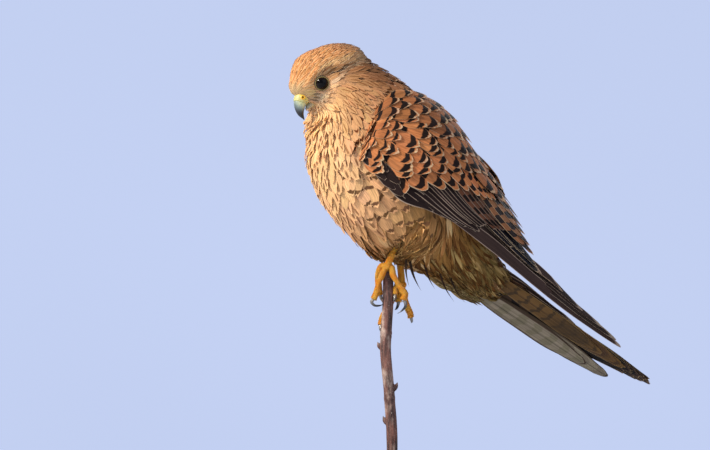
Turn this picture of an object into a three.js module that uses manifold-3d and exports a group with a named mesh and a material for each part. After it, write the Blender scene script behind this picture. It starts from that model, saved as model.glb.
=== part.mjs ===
// A common kestrel at life size, a female with fluffed winter plumage, standing on the cut top of a twig.
// A turned base and a short steel rod carry the twig. Millimetres, +Z up. The origin is the centre of
// the base's underside. The bird faces -Y, so its left side is +X.
import * as THREE from 'three';
import { mergeVertices } from 'three/addons/utils/BufferGeometryUtils.js';
import Module from 'manifold-3d';

const wasm = await Module();
wasm.setup();

// Driving sizes
const gap = 0.3; // kept between touching pieces
const tailDroop = 26; // degrees below level
const tailSwing = 3; // degrees to the bird's right
const tailRoll = 22; // degrees that its right side hangs lower
const headPitch = 44; // degrees the bill points down
const headYaw = 5; // degrees the bill turns to the bird's right
const eyeRadius = 5.2;
const tarsusRadius = 2.3;
const toeRadius = 2;
const clawRadius = 1.2;
const twigRadius = 3.3;
const twigTop = 139.6;
const twigFoot = 17.3;
const baseRadius = 62;
const baseHeight = 10;
const rodRadius = 2.5;
const cupFoot = 15.5;
const cupTop = 23;

const at = (x, y, z) => new THREE.Vector3(x, y, z);
const rad = THREE.MathUtils.degToRad;
const { lerp, clamp, smoothstep } = THREE.MathUtils;

// Solids

// A geometry as a manifold-3d solid that faces out.
function solid(geometry) {
  const bare = new THREE.BufferGeometry();
  bare.setAttribute('position', geometry.getAttribute('position'));
  bare.setIndex(geometry.getIndex());
  const merged = mergeVertices(bare, 1e-4);
  const triVerts = [];
  for (let i = 0; i < merged.index.count; i += 3) {
    const [a, b, c] = [0, 1, 2].map((k) => merged.index.getX(i + k));
    if (a !== b && b !== c && c !== a) triVerts.push(a, b, c);
  }
  const vertProperties = new Float32Array(merged.attributes.position.array);
  const build = (list) => new wasm.Manifold(
    new wasm.Mesh({ numProp: 3, vertProperties, triVerts: new Uint32Array(list) }));
  const made = build(triVerts);
  return made.volume() > 0 ? made : build(triVerts.reverse());
}

const join = (solids) => wasm.Manifold.union(solids);

// The largest closed body of a solid, without the scraps that a cut leaves.
function largest(body) {
  const pieces = body.decompose();
  return pieces.reduce((a, b) => (b.volume() > a.volume() ? b : a));
}

// A solid moved to the bird's other side.
const mirrored = (body) => body.mirror([1, 0, 0]);

const materials = {};
function material(name, color, roughness, metalness = 0) {
  materials[name] = new THREE.MeshStandardMaterial({ name, color, roughness, metalness });
}
material('plumageRufous', 0xb9713f, 0.85);
material('plumageBuff', 0xdcb183, 0.9);
material('flightDark', 0x3b2e2a, 0.7);
material('tailBarred', 0x7d6b58, 0.75);
material('headFeather', 0xb98a5c, 0.85);
material('hornGrey', 0x4a4f57, 0.35);
material('cereYellow', 0xe3c63c, 0.45);
material('footYellow', 0xf0a51e, 0.5);
material('clawBlack', 0x1c1b1f, 0.3);
material('eyeDark', 0x0d0907, 0.05);
material('bark', 0x6d5148, 0.9);
material('steel', 0x9a9da1, 0.3, 1);
material('baseWood', 0x5a3a26, 0.5);

const kestrel = new THREE.Group();
kestrel.name = 'kestrel';

// Adds a solid to the model as one named mesh.
function node(name, body, finish) {
  const { vertProperties, triVerts, numProp } = largest(body).getMesh();
  const position = new Float32Array((vertProperties.length / numProp) * 3);
  for (let i = 0; i < position.length / 3; i++)
    position.set(vertProperties.subarray(i * numProp, i * numProp + 3), i * 3);
  const geometry = new THREE.BufferGeometry();
  geometry.setAttribute('position', new THREE.BufferAttribute(position, 3));
  geometry.setIndex(new THREE.BufferAttribute(new Uint32Array(triVerts), 1));
  geometry.computeVertexNormals();
  const mesh = new THREE.Mesh(geometry, materials[finish]);
  mesh.name = name;
  kestrel.add(mesh);
}

// A value read smoothly from evenly spaced stations, t from 0 to 1.
function along(list, t) {
  const last = list.length - 1;
  const i = Math.min(Math.floor(clamp(t, 0, 1) * last), last - 1);
  const u = clamp(t, 0, 1) * last - i;
  const p = (k) => list[clamp(i + k, 0, last)];
  const [a, b, c, d] = [p(-1), p(0), p(1), p(2)];
  return b + 0.5 * u * (c - a + u * (2 * a - 5 * b + 4 * c - d + u * (3 * (b - c) + d - a)));
}

// A closed skin of rings: place(t, angle) is a point of the ring at t, from 0 to 1.
function skin(sides, steps, place) {
  const geometry = new THREE.CylinderGeometry(1, 1, 1, sides, steps);
  const { position } = geometry.attributes;
  for (let i = 0; i < position.count; i++) {
    const t = 0.5 - position.getY(i);
    const [x, z] = [position.getX(i), position.getZ(i)];
    let point;
    if (Math.hypot(x, z) > 0.5) point = place(t, Math.atan2(x, z));
    else {
      point = at(0, 0, 0);
      for (let k = 0; k < sides; k++) point.addScaledVector(place(t, (k / sides) * 2 * Math.PI), 1 / sides);
    }
    position.setXYZ(i, point.x, point.y, point.z);
  }
  return solid(geometry);
}

// A round rod of changing radius along a line of points.
function rod(points, radii, sides, steps, flat = 1) {
  const curve = new THREE.CatmullRomCurve3(points);
  const first = curve.getTangent(0);
  const away = Math.abs(first.x) > 0.8 ? at(0, 1, 0) : at(1, 0, 0);
  return skin(sides, steps, (t, angle) => {
    const tangent = curve.getTangent(t);
    const side = away.clone().addScaledVector(tangent, -away.dot(tangent)).normalize();
    const over = tangent.clone().cross(side);
    const r = along(radii, t);
    return curve.getPoint(t)
      .addScaledVector(side, r * Math.cos(angle))
      .addScaledVector(over, r * flat * Math.sin(angle));
  });
}

// An ellipsoid placed and turned by a matrix.
function ellipsoid(matrix, x, y, z, sides = 16) {
  const geometry = new THREE.SphereGeometry(1, sides, Math.ceil(sides * 0.6));
  geometry.scale(x, y, z).applyMatrix4(matrix);
  return solid(geometry);
}

// A curved plate, split into triangles alike on both faces: place(u, t, face) with u across and t along,
// each 0 to 1, and face 1 on the outside and 0 on the inside.
function plate(across, steps, place) {
  const grid = new THREE.PlaneGeometry(1, 1, across, steps);
  const { position } = grid.attributes;
  const count = position.count;
  const points = new Float32Array(count * 6);
  for (let i = 0; i < count; i++) {
    const [u, t] = [position.getX(i) + 0.5, 0.5 - position.getY(i)];
    place(u, t, 1).toArray(points, i * 3);
    place(u, t, 0).toArray(points, (count + i) * 3);
  }
  const index = [...grid.index.array];
  for (let i = 0; i < grid.index.count; i += 3) {
    const [a, b, c] = [0, 1, 2].map((k) => grid.index.getX(i + k) + count);
    index.push(a, c, b);
  }
  const row = across + 1;
  const wall = (a, b) => index.push(a, a + count, b, b, a + count, b + count);
  for (let i = 0; i < across; i++) {
    wall(i + 1, i);
    wall(steps * row + i, steps * row + i + 1);
  }
  for (let i = 0; i < steps; i++) {
    wall(i * row, (i + 1) * row);
    wall((i + 1) * row + across, i * row + across);
  }
  const geometry = new THREE.BufferGeometry();
  geometry.setAttribute('position', new THREE.BufferAttribute(points, 3));
  geometry.setIndex(index);
  return solid(geometry);
}

// A large block whose one face passes through a point, on the side that the normal points to.
function half(point, normal) {
  const size = 600;
  const geometry = new THREE.BoxGeometry(size, size, size).translate(0, 0, size / 2);
  const turn = new THREE.Quaternion().setFromUnitVectors(at(0, 0, 1), normal.clone().normalize());
  geometry.applyQuaternion(turn).translate(point.x, point.y, point.z);
  return solid(geometry);
}

// Body: rings square to a line down the middle of neck, trunk and rump. Angle 0 is the back,
// 90 degrees the left.
const trunk = {
  y: [-46, -34, -20, -6, 8, 22, 37, 53, 70, 88],
  z: [262, 256, 245, 228, 208, 188, 171, 157, 146, 137],
  side: [20, 30.5, 37.5, 41.5, 43.5, 42.5, 36, 27, 19, 11],
  back: [18, 24.5, 30, 38, 43.5, 44.5, 38, 27, 15, 5],
  front: [21, 39, 50.5, 57.5, 58, 51, 36.5, 23, 18.5, 14],
};

function trunkFrame(t) {
  const step = 0.01;
  const [t0, t1] = [Math.max(t - step, 0), Math.min(t + step, 1)];
  const line = (u) => at(0, along(trunk.y, u), along(trunk.z, u));
  const run = line(t1).sub(line(t0)).normalize();
  return { centre: line(t), up: at(0, -run.z, run.y), run };
}

function trunkPoint(t, angle, out = 0) {
  const { centre, up } = trunkFrame(t);
  const [c, s] = [Math.cos(angle), Math.sin(angle)];
  const deep = (c > 0 ? along(trunk.back, t) : along(trunk.front, t)) + out;
  return centre.addScaledVector(up, deep * c).add(at((along(trunk.side, t) + out) * s, 0, 0));
}

const makeTrunk = (out) => skin(22, 16, (t, a) => trunkPoint(t, a, out));
const trunkSolid = makeTrunk(0);
const trunkGrown = makeTrunk(gap);

// Head: rings square to the line from nape to bill, in its own axes: x to its right, y forward,
// z to its crown.
const headCentre = at(-1.5, -55.3, 256.2); // midway between the eyes
const headTurn = new THREE.Matrix4()
  .makeRotationZ(rad(-headYaw))
  .multiply(new THREE.Matrix4().makeRotationX(rad(headPitch)))
  .multiply(new THREE.Matrix4().makeRotationZ(Math.PI));
const headFrame = headTurn.clone().setPosition(headCentre);
const onHead = (x, y, z) => at(x, y, z).applyMatrix4(headFrame);

const skull = {
  y: [-41, -35, -27, -16, -6, 2, 8.2, 11.2, 13.4],
  z: [-5, -5, -4, -3, -1, 0.2, 1.4, 5.2, 7],
  side: [6, 15, 20, 20.5, 16.6, 13, 9.4, 5.6, 2.6],
  top: [6, 13, 18, 21.5, 22, 18.5, 13, 7.6, 2],
  chin: [6, 14, 18, 19.5, 19, 16, 10.5, 5.6, 2.6],
};

function skullPoint(t, angle, out = 0) {
  const [c, s] = [Math.cos(angle), Math.sin(angle)];
  const tall = (c > 0 ? along(skull.top, t) : along(skull.chin, t)) + out;
  return onHead((along(skull.side, t) + out) * s, along(skull.y, t), along(skull.z, t) + tall * c);
}

const makeSkull = (out) => skin(18, 11, (t, a) => skullPoint(t, a, out));

// The eyes look a little forward and sit under the brow. Each lid is a ring round its opening.
const eye = { side: 10.9, forward: -2, up: 0.2, toFront: 24, opening: 4.7, lid: 0.85, brow: 2.6 };
const eyeAxis = (sign) => at(sign * Math.cos(rad(eye.toFront)), Math.sin(rad(eye.toFront)), 0);
const eyeCentre = (sign) => at(sign * eye.side, eye.forward, eye.up);

function eyeball(sign, out) {
  const c = eyeCentre(sign);
  const place = headFrame.clone().multiply(new THREE.Matrix4().makeTranslation(c.x, c.y, c.z));
  return ellipsoid(place, eyeRadius + out, eyeRadius + out, eyeRadius + out, 12);
}

function lidRing(sign, out) {
  const axis = eyeAxis(sign);
  const reach = Math.sqrt(eyeRadius ** 2 - eye.opening ** 2);
  const c = eyeCentre(sign).addScaledVector(axis, reach + 0.3);
  const ring = new THREE.TorusGeometry(eye.opening + 0.4, eye.lid + out, 5, 14);
  const turn = new THREE.Quaternion().setFromUnitVectors(at(0, 0, 1), axis);
  ring.applyQuaternion(turn).translate(c.x, c.y, c.z).applyMatrix4(headFrame);
  return solid(ring);
}

function brow(sign, out) {
  const line = [[0.72, 8, 4.6], [0.92, 3, 7], [1, -3, 7.7], [1.04, -10, 6.6], [0.98, -16, 4.8]];
  const points = line.map(([side, forward, up]) => onHead(sign * side * 13.2, forward, up));
  const radii = [0.9, eye.brow * 0.75, eye.brow, eye.brow * 0.8, 0.8];
  return rod(points, radii.map((r) => r + out), 6, 4);
}

// Bill: the upper half curves over and ends in a hook, the lower half is shorter and shuts under it.
const billLine = [[4, 0.3], [8.4, 0], [12.2, -0.9], [15.6, -3.2], [18, -6.8], [18.9, -11.2]];
const bill = {
  wide: [5.6, 5.2, 4.4, 3.2, 1.9, 0.35],
  over: [5.6, 5.2, 4.7, 3.6, 2.2, 0.35],
  under: [5.4, 5.0, 4.4, 3.4, 2.0, 0.35],
  cereFront: 13.6,
  swell: 0.25, // how far the cere stands over the horn
  nostril: { forward: 11.6, side: 4.3, up: 0.6, radius: 0.8 },
};

function billUpper(out) {
  const curve = new THREE.CatmullRomCurve3(billLine.map(([y, z]) => at(0, y, z)));
  return skin(12, 9, (t, angle) => {
    const tangent = curve.getTangent(t);
    const up = at(0, -tangent.z, tangent.y);
    const [c, s] = [Math.cos(angle), Math.sin(angle)];
    const tall = along(c > 0 ? bill.over : bill.under, t) + out;
    return curve.getPoint(t)
      .addScaledVector(up, tall * c)
      .add(at((along(bill.wide, t) + out) * s, 0, 0))
      .applyMatrix4(headFrame);
  });
}

const lowerLine = [[3, -7.4], [7.4, -7.2], [11, -7], [14.2, -8]];
const lowerRadii = [4.4, 4.1, 3, 0.7];
const billLower = (out) => rod(
  lowerLine.map(([y, z]) => onHead(0, y, z)), lowerRadii.map((r) => r + out), 10, 6, 0.7 + 0.15 * out);

// The plane square to the bill line where the cere ends.
const billRun = at(0, 1, -0.12).transformDirection(headTurn);
const cereEdge = (shift) => half(onHead(0, bill.cereFront + shift, 0), billRun);

function nostril(sign) {
  const { forward, side, up, radius } = bill.nostril;
  const hole = new THREE.CylinderGeometry(radius, radius, 2.4, 10).rotateZ(Math.PI / 2);
  hole.translate(sign * (side + 0.6), forward, up).applyMatrix4(headFrame);
  return solid(hole);
}

function makeHead() {
  const flesh = makeSkull(0);
  const upper = billUpper(0);
  const upperGrown = billUpper(gap + bill.swell);
  const swollen = billUpper(bill.swell).subtract(cereEdge(-gap / 2));
  let head = join([flesh, lidRing(1, 0), lidRing(-1, 0), brow(1, 0), brow(-1, 0)]);
  for (const sign of [1, -1]) {
    node(sign > 0 ? 'eye_right' : 'eye_left', eyeball(sign, 0), 'eyeDark');
    head = head.subtract(eyeball(sign, gap));
  }
  head = head.subtract(upperGrown).subtract(billLower(gap));
  node('cere', swollen.subtract(nostril(1)).subtract(nostril(-1)), 'cereYellow');
  node('bill_upper', upper.intersect(cereEdge(gap / 2)), 'hornGrey');
  node('bill_lower', billLower(0).subtract(billUpper(gap + bill.swell)), 'hornGrey');
  return head;
}

const headSolid = makeHead();
node('head', headSolid, 'headFeather');

// Legs: each thigh bulges from the belly, and the bare tarsus comes out of it.
const thigh = {
  line: [[23, 18, 176], [21, 12, 168], [14.5, 5, 160], [8, 0.6, 152.5]],
  radii: [15, 17, 13, 6],
};
const thighLine = (sign) => thigh.line.map(([x, y, z]) => at(sign * x, y, z));
const makeThigh = (sign, out) => rod(thighLine(sign), thigh.radii.map((r) => r + out), 12, 6);

// Each toe is a row of points from the foot, and its claw a few more. The left foot holds the cut top
// of the twig, and the right foot holds its far side lower down.
const feet = {
  left: {
    tarsus: [[11.7, 2.2, 160.3], [8.4, -0.4, 152.9], [4.8, -2.4, 145.4]],
    palm: [2.9, -2.2, 143],
    toes: {
      outer: {
        toe: [[2.7, -4.6, 140.1], [1.6, -6.8, 134.9], [0.2, -8, 129], [-0.8, -8.9, 124.2], [-1.7, -10.2, 121.6]],
        claw: [[-2.3, -11, 119.8], [-1.7, -9.3, 117.8], [-0.4, -6.2, 117.6], [0.8, -3.8, 118.6]],
      },
      middle: {
        toe: [
          [-1.1, -4.3, 143.2], [-3, -5.7, 138.9], [-3.8, -5.4, 133.5], [-3.9, -4.3, 128.3], [-3.7, -3.6, 124.7],
        ],
        claw: [[-3.8, -3, 122.6], [-4.5, -0.9, 120.9], [-4.8, 1.7, 120.7]],
      },
      inner: {
        toe: [[-1.9, -0.5, 143], [-4.6, 2.1, 140.3], [-5, 3.4, 136], [-4.7, 3.7, 132.1]],
        claw: [[-4.6, 3.8, 130], [-3.5, 4.5, 128], [-2.2, 5.1, 127.3]],
      },
      hind: {
        toe: [
          [5, -0.6, 142.1], [6.2, 0.3, 137.1], [7.5, 2.6, 132], [8.8, 5.8, 127.4], [9.2, 7.1, 124.6],
          [8.5, 6.3, 121],
        ],
        claw: [[9.1, 7.6, 119.6], [8.8, 7.6, 116.9], [7.4, 6.1, 114.4], [5.6, 3.7, 112.4]],
      },
    },
  },
  right: {
    tarsus: [[-9.7, 9.3, 159.3], [-3.4, 10.5, 147], [-0.5, 10.4, 135.6]],
    palm: [0.3, 9.7, 131.6],
    toes: {
      outer: {
        toe: [[0.2, 8.7, 128], [0.8, 7.7, 124.3], [1.5, 7, 120.2]],
        claw: [[2, 6.2, 118.1], [3.2, 4.4, 115.8], [4, 2.6, 114.8]],
      },
      middle: {
        toe: [[-2, 8.6, 127.4], [-4.1, 5.7, 121.7], [-5.2, 1.9, 115], [-4.7, -1.7, 109.6], [-3.8, -3.3, 105.1]],
        claw: [[-3.2, -3.9, 103], [-0.9, -4, 101], [1.7, -3.1, 101.1]],
      },
      inner: {
        toe: [[1.1, 7.1, 131.7], [2, 4.7, 130.1], [2.6, 3.7, 127.2], [3, 3.3, 124.7]],
        claw: [[3.5, 2.9, 123.1], [4.1, 2.2, 121.2], [4.4, 1.3, 119.8]],
      },
      hind: {
        toe: [[0.5, 10.9, 127.7], [0.4, 12.3, 123.2], [0.5, 14.1, 118.1], [0.7, 16, 113.3], [0.8, 16.9, 110.4]],
        claw: [[0.6, 17.4, 109], [-0.4, 18.1, 107.9], [-1.8, 18.5, 107.1]],
      },
    },
  },
};

const points = (list) => list.map((p) => at(...p));
const clawLine = (toe) => [at(...toe.toe.at(-1)), ...points(toe.claw)];

// The twig rises with a slight bend and carries a few buds.
const twig = {
  line: [
    [1.6, 1.8, twigFoot], [1.6, 1.8, 34], [0.4, 0.4, 62],
    [-0.6, -1.6, 90], [0.3, -0.4, 118], [0, 0, twigTop],
  ],
  radii: [3.5, 3.7, 3.6, 3.7, 3.7, 3.4],
  buds: [[0.82, 205, 2.1], [0.6, 245, 2.3], [0.41, 60, 2.6], [0.26, 230, 2.5]],
};

function makeTwig(out) {
  const stem = rod(points(twig.line), twig.radii.map((r) => r + out), 9, 12);
  const curve = new THREE.CatmullRomCurve3(points(twig.line));
  const buds = twig.buds.map(([t, angle, size]) => {
    const away = at(Math.cos(rad(angle)), Math.sin(rad(angle)), 0);
    const foot = curve.getPoint(t).addScaledVector(away, twigRadius * 0.5);
    const mid = curve.getPoint(t).addScaledVector(away, twigRadius + size * 0.3).add(at(0, 0, size * 0.6));
    const tip = curve.getPoint(t).addScaledVector(away, twigRadius + size * 0.9).add(at(0, 0, size * 1.9));
    return rod([foot, mid, tip], [size * 0.7 + out, size * 0.6 + out, 0.3 + out], 5, 3);
  });
  return join([stem, ...buds]);
}

const twigGrown = makeTwig(gap);
const palmSize = [3.6, 3.6, 2.8];
const tarsusRadii = [tarsusRadius, tarsusRadius, tarsusRadius + 0.5];
const toeRadii = [1.1, 1.1, 0.95, 0.95, 1.15, 1].map((share) => share * toeRadius);
const clawRadii = [1.1, 1, 0.8, 0.2].map((share) => share * clawRadius);
const tarsi = {};
for (const [side, foot] of Object.entries(feet)) {
  const shankLine = points([...foot.tarsus, foot.palm]);
  const shank = (out) => rod(shankLine, tarsusRadii.map((r) => r + out), 9, 3);
  const palmPlace = new THREE.Matrix4().makeTranslation(...foot.palm);
  const palm = (out) => ellipsoid(palmPlace, ...palmSize.map((size) => size + out), 9);
  tarsi[side] = join([shank(gap), palm(gap)]);
  const toes = Object.values(foot.toes).map(({ toe }) => rod(points([foot.palm, ...toe]), toeRadii, 6, 6));
  const sockets = Object.entries(foot.toes).map(([name, toe]) => {
    const claw = (out) => rod(clawLine(toe), clawRadii.map((r) => r + out), 6, 5);
    const face = at(...toe.toe.at(-1));
    const run = at(...toe.claw[0]).sub(face).normalize();
    const free = half(face.addScaledVector(run, -toeRadius * 0.4), run);
    node(`claw_${side}_${name}`, claw(0).intersect(free).subtract(twigGrown), 'clawBlack');
    return claw(gap);
  });
  const bare = join([shank(0), palm(0), ...toes]).subtract(join([twigGrown, ...sockets]));
  node(`foot_${side}`, bare, 'footYellow');
}
node('perch_twig', makeTwig(0), 'bark');

// Display stand
const baseProfile = [
  [0, 0], [baseRadius - 2, 0], [baseRadius, 2], [baseRadius, baseHeight - 3],
  [baseRadius - 1.2, baseHeight - 1.2], [baseRadius - 4, baseHeight], [0, baseHeight],
];
const lathe = (profile, sides) => solid(
  new THREE.LatheGeometry(profile.map(([r, z]) => new THREE.Vector2(r, z)), sides).rotateX(Math.PI / 2));
node('stand_base', lathe(baseProfile, 28), 'baseWood');
const cupRadius = twigRadius + 2.6;
const cupHole = twigRadius + 0.9;
const rodProfile = [
  [0, baseHeight + gap], [rodRadius, baseHeight + gap], [rodRadius, cupFoot - 1], [cupRadius, cupFoot],
  [cupRadius, cupTop], [cupHole, cupTop], [cupHole, twigFoot - gap], [0, twigFoot - gap],
];
node('stand_rod', lathe(rodProfile, 14).translate([1.6, 1.8, 0]), 'steel');

// Trunk parts: neck, torso, and the tail's root are parted by planes square to the trunk's line.
const neckEnd = 0.21;
const rumpEnd = 0.93;
function cutAt(t, shift) {
  const { centre, run } = trunkFrame(t);
  return half(centre.clone().addScaledVector(run, shift), run);
}
const lidsGrown = [1, -1].flatMap((sign) => [lidRing(sign, gap), brow(sign, gap)]);
const skullGrown = join([makeSkull(gap), ...lidsGrown]);
const front = trunkSolid.subtract(cutAt(neckEnd, -gap / 2));
const billGrown = join([billUpper(gap + bill.swell), billLower(gap)]);
node('neck', front.subtract(skullGrown).subtract(billGrown), 'plumageBuff');

let torso = trunkSolid.intersect(cutAt(neckEnd, gap / 2)).subtract(cutAt(rumpEnd, -gap / 2));
torso = torso.subtract(skullGrown);
for (const [sign, side] of [[1, 'left'], [-1, 'right']]) {
  torso = torso.subtract(makeThigh(sign, gap)).subtract(tarsi[side]);
  const midline = half(at(sign * gap / 2, 0, 0), at(sign, 0, 0));
  node(`thigh_${side}`, makeThigh(sign, 0).intersect(midline).subtract(tarsi[side]), 'plumageBuff');
}
node('torso', torso, 'plumageBuff');

// Wings: a surface over three rails from the wrist to the wing tip, for the left side. s runs along it,
// v runs from the lower edge to the back, and h is the height above it.
const wing = {
  lower: {
    x: [29, 37, 46, 50, 45, 38, 28, 21, 17],
    y: [-43, -37.5, -19, 1.8, 30.3, 61.5, 100.5, 134, 177],
    z: [212, 206, 187.8, 177.6, 163.3, 148.8, 130, 114, 93],
  },
  middle: {
    x: [32, 43, 52, 52, 45, 33, 22.5, 16.5, 14.5],
    y: [-41, -28, -3, 19, 43, 73, 105.5, 139, 181],
    z: [223.5, 231, 225, 213, 194, 172, 149, 124.5, 99.5],
  },
  upper: {
    x: [32.4, 38.5, 28, 15, 7, 4, 4, 6, 11],
    y: [-39.9, -19.5, 10.5, 40, 65.5, 91.5, 113, 147.5, 185],
    z: [234.8, 250.5, 252.5, 243, 219.5, 193, 167.5, 133, 105],
  },
};

function wingBare(s, v) {
  const rail = (r) => at(along(r.x, s), along(r.y, s), along(r.z, s));
  const [low, mid, high] = [rail(wing.lower), rail(wing.middle), rail(wing.upper)];
  const bow = mid.multiplyScalar(2).addScaledVector(low, -0.5).addScaledVector(high, -0.5);
  return low.multiplyScalar((1 - v) ** 2).addScaledVector(bow, 2 * v * (1 - v)).addScaledVector(high, v ** 2);
}

function wingPoint(s, v, h) {
  const step = 0.02;
  const down = wingBare(clamp(s + step, 0, 1), v).sub(wingBare(clamp(s - step, 0, 1), v));
  const over = wingBare(s, clamp(v + step, 0, 1)).sub(wingBare(s, clamp(v - step, 0, 1)));
  return wingBare(s, v).addScaledVector(over.cross(down).normalize(), -h);
}

// A block over a stretch of the wing.
const wingSlab = (s, v, h, across, steps) => plate(across, steps, (u, t, face) =>
  wingPoint(lerp(...s, t), lerp(...v, u), lerp(...h, face)));

// A feather of three columns of points: from root to tip, half its width on each side of the shaft, its tip
// drawn back and its edges drawn down. tilt lowers it across. place(run, side, height) sets it on a surface.
const broad = [0.6, 1.02, 0.98, 0.5]; // widths from root to tip as shares of the greatest
const narrowRoot = [0.45, 0.78, 1.04, 0.55];
function feather({
  place, root, tip, wide, height, round, steps, width = broad, tilt = 0, bow = 0, thick = 0.6,
}) {
  return plate(2, steps, (u, t, face) => {
    const edge = u * 2 - 1;
    const run = lerp(root[0], tip[0], t) - round * edge ** 2 * t ** 2;
    const side = lerp(root[1], tip[1], t) + edge * wide * along(width, t);
    return place(run, side, height(run, side, t) - tilt * u - bow * edge ** 2 + thick * face);
  });
}

// How far the wing's quills lie under the feathers over them, from 0 to 1.
const underCoverts = (s) => 1 - smoothstep(s, 0.49, 0.6);
const underSecondaries = (s, v) => smoothstep(v, 0.01, 0.17) * (1 - smoothstep(s, 0.67, 0.83));

// Primaries: the outermost runs along the lower edge to the wing tip, each next one is shorter and higher.
const primaries = {
  count: 5, wide: 0.2, layer: 0.85,
  root: { first: [0.45, 0.1], last: [0.45, 0.36] },
  tip: { first: [1, 0.4], last: [0.8, 0.88] },
};
function makePrimaries() {
  const { count, wide, layer, root, tip } = primaries;
  const made = [];
  for (let k = 0; k < count; k++) {
    const f = k / (count - 1);
    const mix = (ends) => [0, 1].map((i) => lerp(ends.first[i], ends.last[i], f));
    const below = layer * (count - 1 - k);
    made.push(feather({
      place: wingPoint, root: mix(root), tip: mix(tip), wide,
      height: (s, v) => -0.6 - below - Math.max(1.9 * underCoverts(s), 5.5 * underSecondaries(s, v)),
      thick: 0.5, steps: 4, round: 0.035,
    }));
  }
  const block = wingSlab([0.445, 0.48], [0.03, 0.42], [-9.8, -5.9], 2, 1);
  return join([block, ...made]);
}

// Secondaries and tertials: over the primaries, from the wing's middle to the back.
const secondaries = { wide: 0.13, tilt: 2.3, reach: [0.6, 0.65, 0.69, 0.715, 0.725, 0.715, 0.69] };
function makeSecondaries() {
  const { wide, tilt, reach } = secondaries;
  const made = reach.map((end, k) => {
    const f = k / (reach.length - 1);
    return feather({
      place: wingPoint, root: [0.45, lerp(0.3, 0.93, f)], tip: [end, lerp(0.32, 0.96, f)],
      wide, tilt, height: (s) => -0.7 - 1.9 * underCoverts(s), steps: 3, round: 0.03,
    });
  });
  const block = wingSlab([0.445, 0.48], [0.2, 1], [-4.5, -2.7], 4, 1);
  return join([block, ...made]);
}

// Coverts and scapulars: rows of feathers on the arm, each row over the roots of the next.
const covertRows = [
  { tip: 0.18, length: 0.14, count: 4 },
  { tip: 0.285, length: 0.15, count: 5 },
  { tip: 0.39, length: 0.16, count: 5 },
  { tip: 0.5, length: 0.18, count: 6 },
];
function makeCoverts(random) {
  const front = (s) => -6 * (1 - smoothstep(s, -0.02, 0.12));
  const arm = plate(5, 5, (u, t, face) => {
    const s = lerp(0, 0.43, t);
    return wingPoint(s, u, face ? front(s) - 1.5 : -10);
  });
  const made = covertRows.flatMap(({ tip, length, count }, row) => {
    const list = [];
    for (let k = 0; k < count; k++) {
      const v = (k + 0.5 + (row % 2 ? 0.2 : -0.2)) / count;
      const end = tip + (random() - 0.5) * 0.014 + 0.02 * v;
      const lift = k % 2 ? 0.4 : -0.45;
      list.push(feather({
        place: wingPoint, root: [end - length, v], tip: [end, v], wide: 0.58 / count, width: narrowRoot,
        height: (s, side, t) => front(s) + lerp(-3, lift, Math.sqrt(t)), bow: 0.5, round: 0.025, steps: 2,
      }));
    }
    return list;
  });
  return join([arm, ...made]);
}

// A seeded source of numbers from 0 to 1.
function seeded(seed) {
  let state = seed;
  return () => {
    state = (state * 16807) % 2147483647;
    return state / 2147483647;
  };
}

const wingParts = {
  coverts: { body: makeCoverts(seeded(7)), finish: 'plumageRufous' },
  secondaries: { body: makeSecondaries(), finish: 'flightDark' },
  primaries: { body: makePrimaries(), finish: 'flightDark' },
};
for (const [side, sign] of [['left', 1], ['right', -1]]) {
  const clear = join([trunkGrown, makeThigh(sign, gap)]);
  const ownSide = half(at(sign * 0.5, 0, 0), at(sign, 0, 0));
  for (const [name, { body, finish }] of Object.entries(wingParts)) {
    const placed = sign > 0 ? body : mirrored(body);
    node(`wing_${side}_${name}`, placed.intersect(ownSide).subtract(clear), finish);
  }
}

// Tail: from the rump out to the tips, lower at the sides.
const tailRoot = at(0, 62.7, 145);
const tailTurn = new THREE.Matrix4().makeRotationZ(rad(tailSwing))
  .multiply(new THREE.Matrix4().makeRotationX(rad(-tailDroop)))
  .multiply(new THREE.Matrix4().makeRotationY(rad(-tailRoll)));
const tailFrame = tailTurn.clone().setPosition(tailRoot);
const onTail = (side, run, up) => at(side, run, up).applyMatrix4(tailFrame);
// The feathers from its right edge to its left: how far each is to the left of the middle at its root and
// tip, and how long it is. The two at its right edge stand apart from the others, which lie close together.
const tailFan = {
  root: [-10.5, -9.5, -6.5, -5, -3.2, -1.2, 1.2, 3.2, 5.4, 7.4, 9, 10],
  tip: [-12.2, -11.8, 0.4, 0.7, 1.2, 2, 2.6, 3.2, 3.6, 3.9, 4.1, 4.2],
  length: [122, 143, 150, 158, 165, 170, 171.5, 166, 160, 152, 143, 122],
  layer: 0.85, wide: 7.6, roof: 0.1, start: 26, tipMiddle: 2.3,
};
function tailFeather(i) {
  const { root, tip, length, layer, wide, roof, start, tipMiddle } = tailFan;
  const fromMiddle = i - (length.length - 1) / 2;
  const longest = Math.max(...length);
  const sign = Math.sign(fromMiddle);
  const level = fromMiddle === 0.5 ? layer : layer * (0.5 - Math.abs(fromMiddle));
  const own = Math.abs(fromMiddle) > 1;
  return feather({
    place: (run, side, up) => {
      const middle = lerp(0, tipMiddle, run / longest);
      const kept = own ? middle + sign * Math.max((side - middle) * sign, gap) : side;
      return onTail(kept, run, up - roof * Math.abs(kept));
    },
    root: [start, root[i]], tip: [length[i], tip[i]], wide, height: () => level,
    thick: 0.5, round: 7, steps: 3,
  });
}

// Coverts lie over and under the roots of the tail feathers.
function tailCovert(k, over) {
  const reach = (over ? 70 : 104) - 8 * k ** 2;
  const rise = (run) => 4.2 * (1 - smoothstep(run, 22, 62));
  const level = (run, side) => (over ? 2 + rise(run) : -6.6) - 0.12 * Math.abs(side) - 0.9 * Math.abs(k);
  return feather({
    place: (run, side, up) => onTail(side, run, up),
    root: [20, k * 6], tip: [reach, k * 8], wide: 8, height: level, thick: 0.7, round: 10, steps: 2,
  });
}

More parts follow.
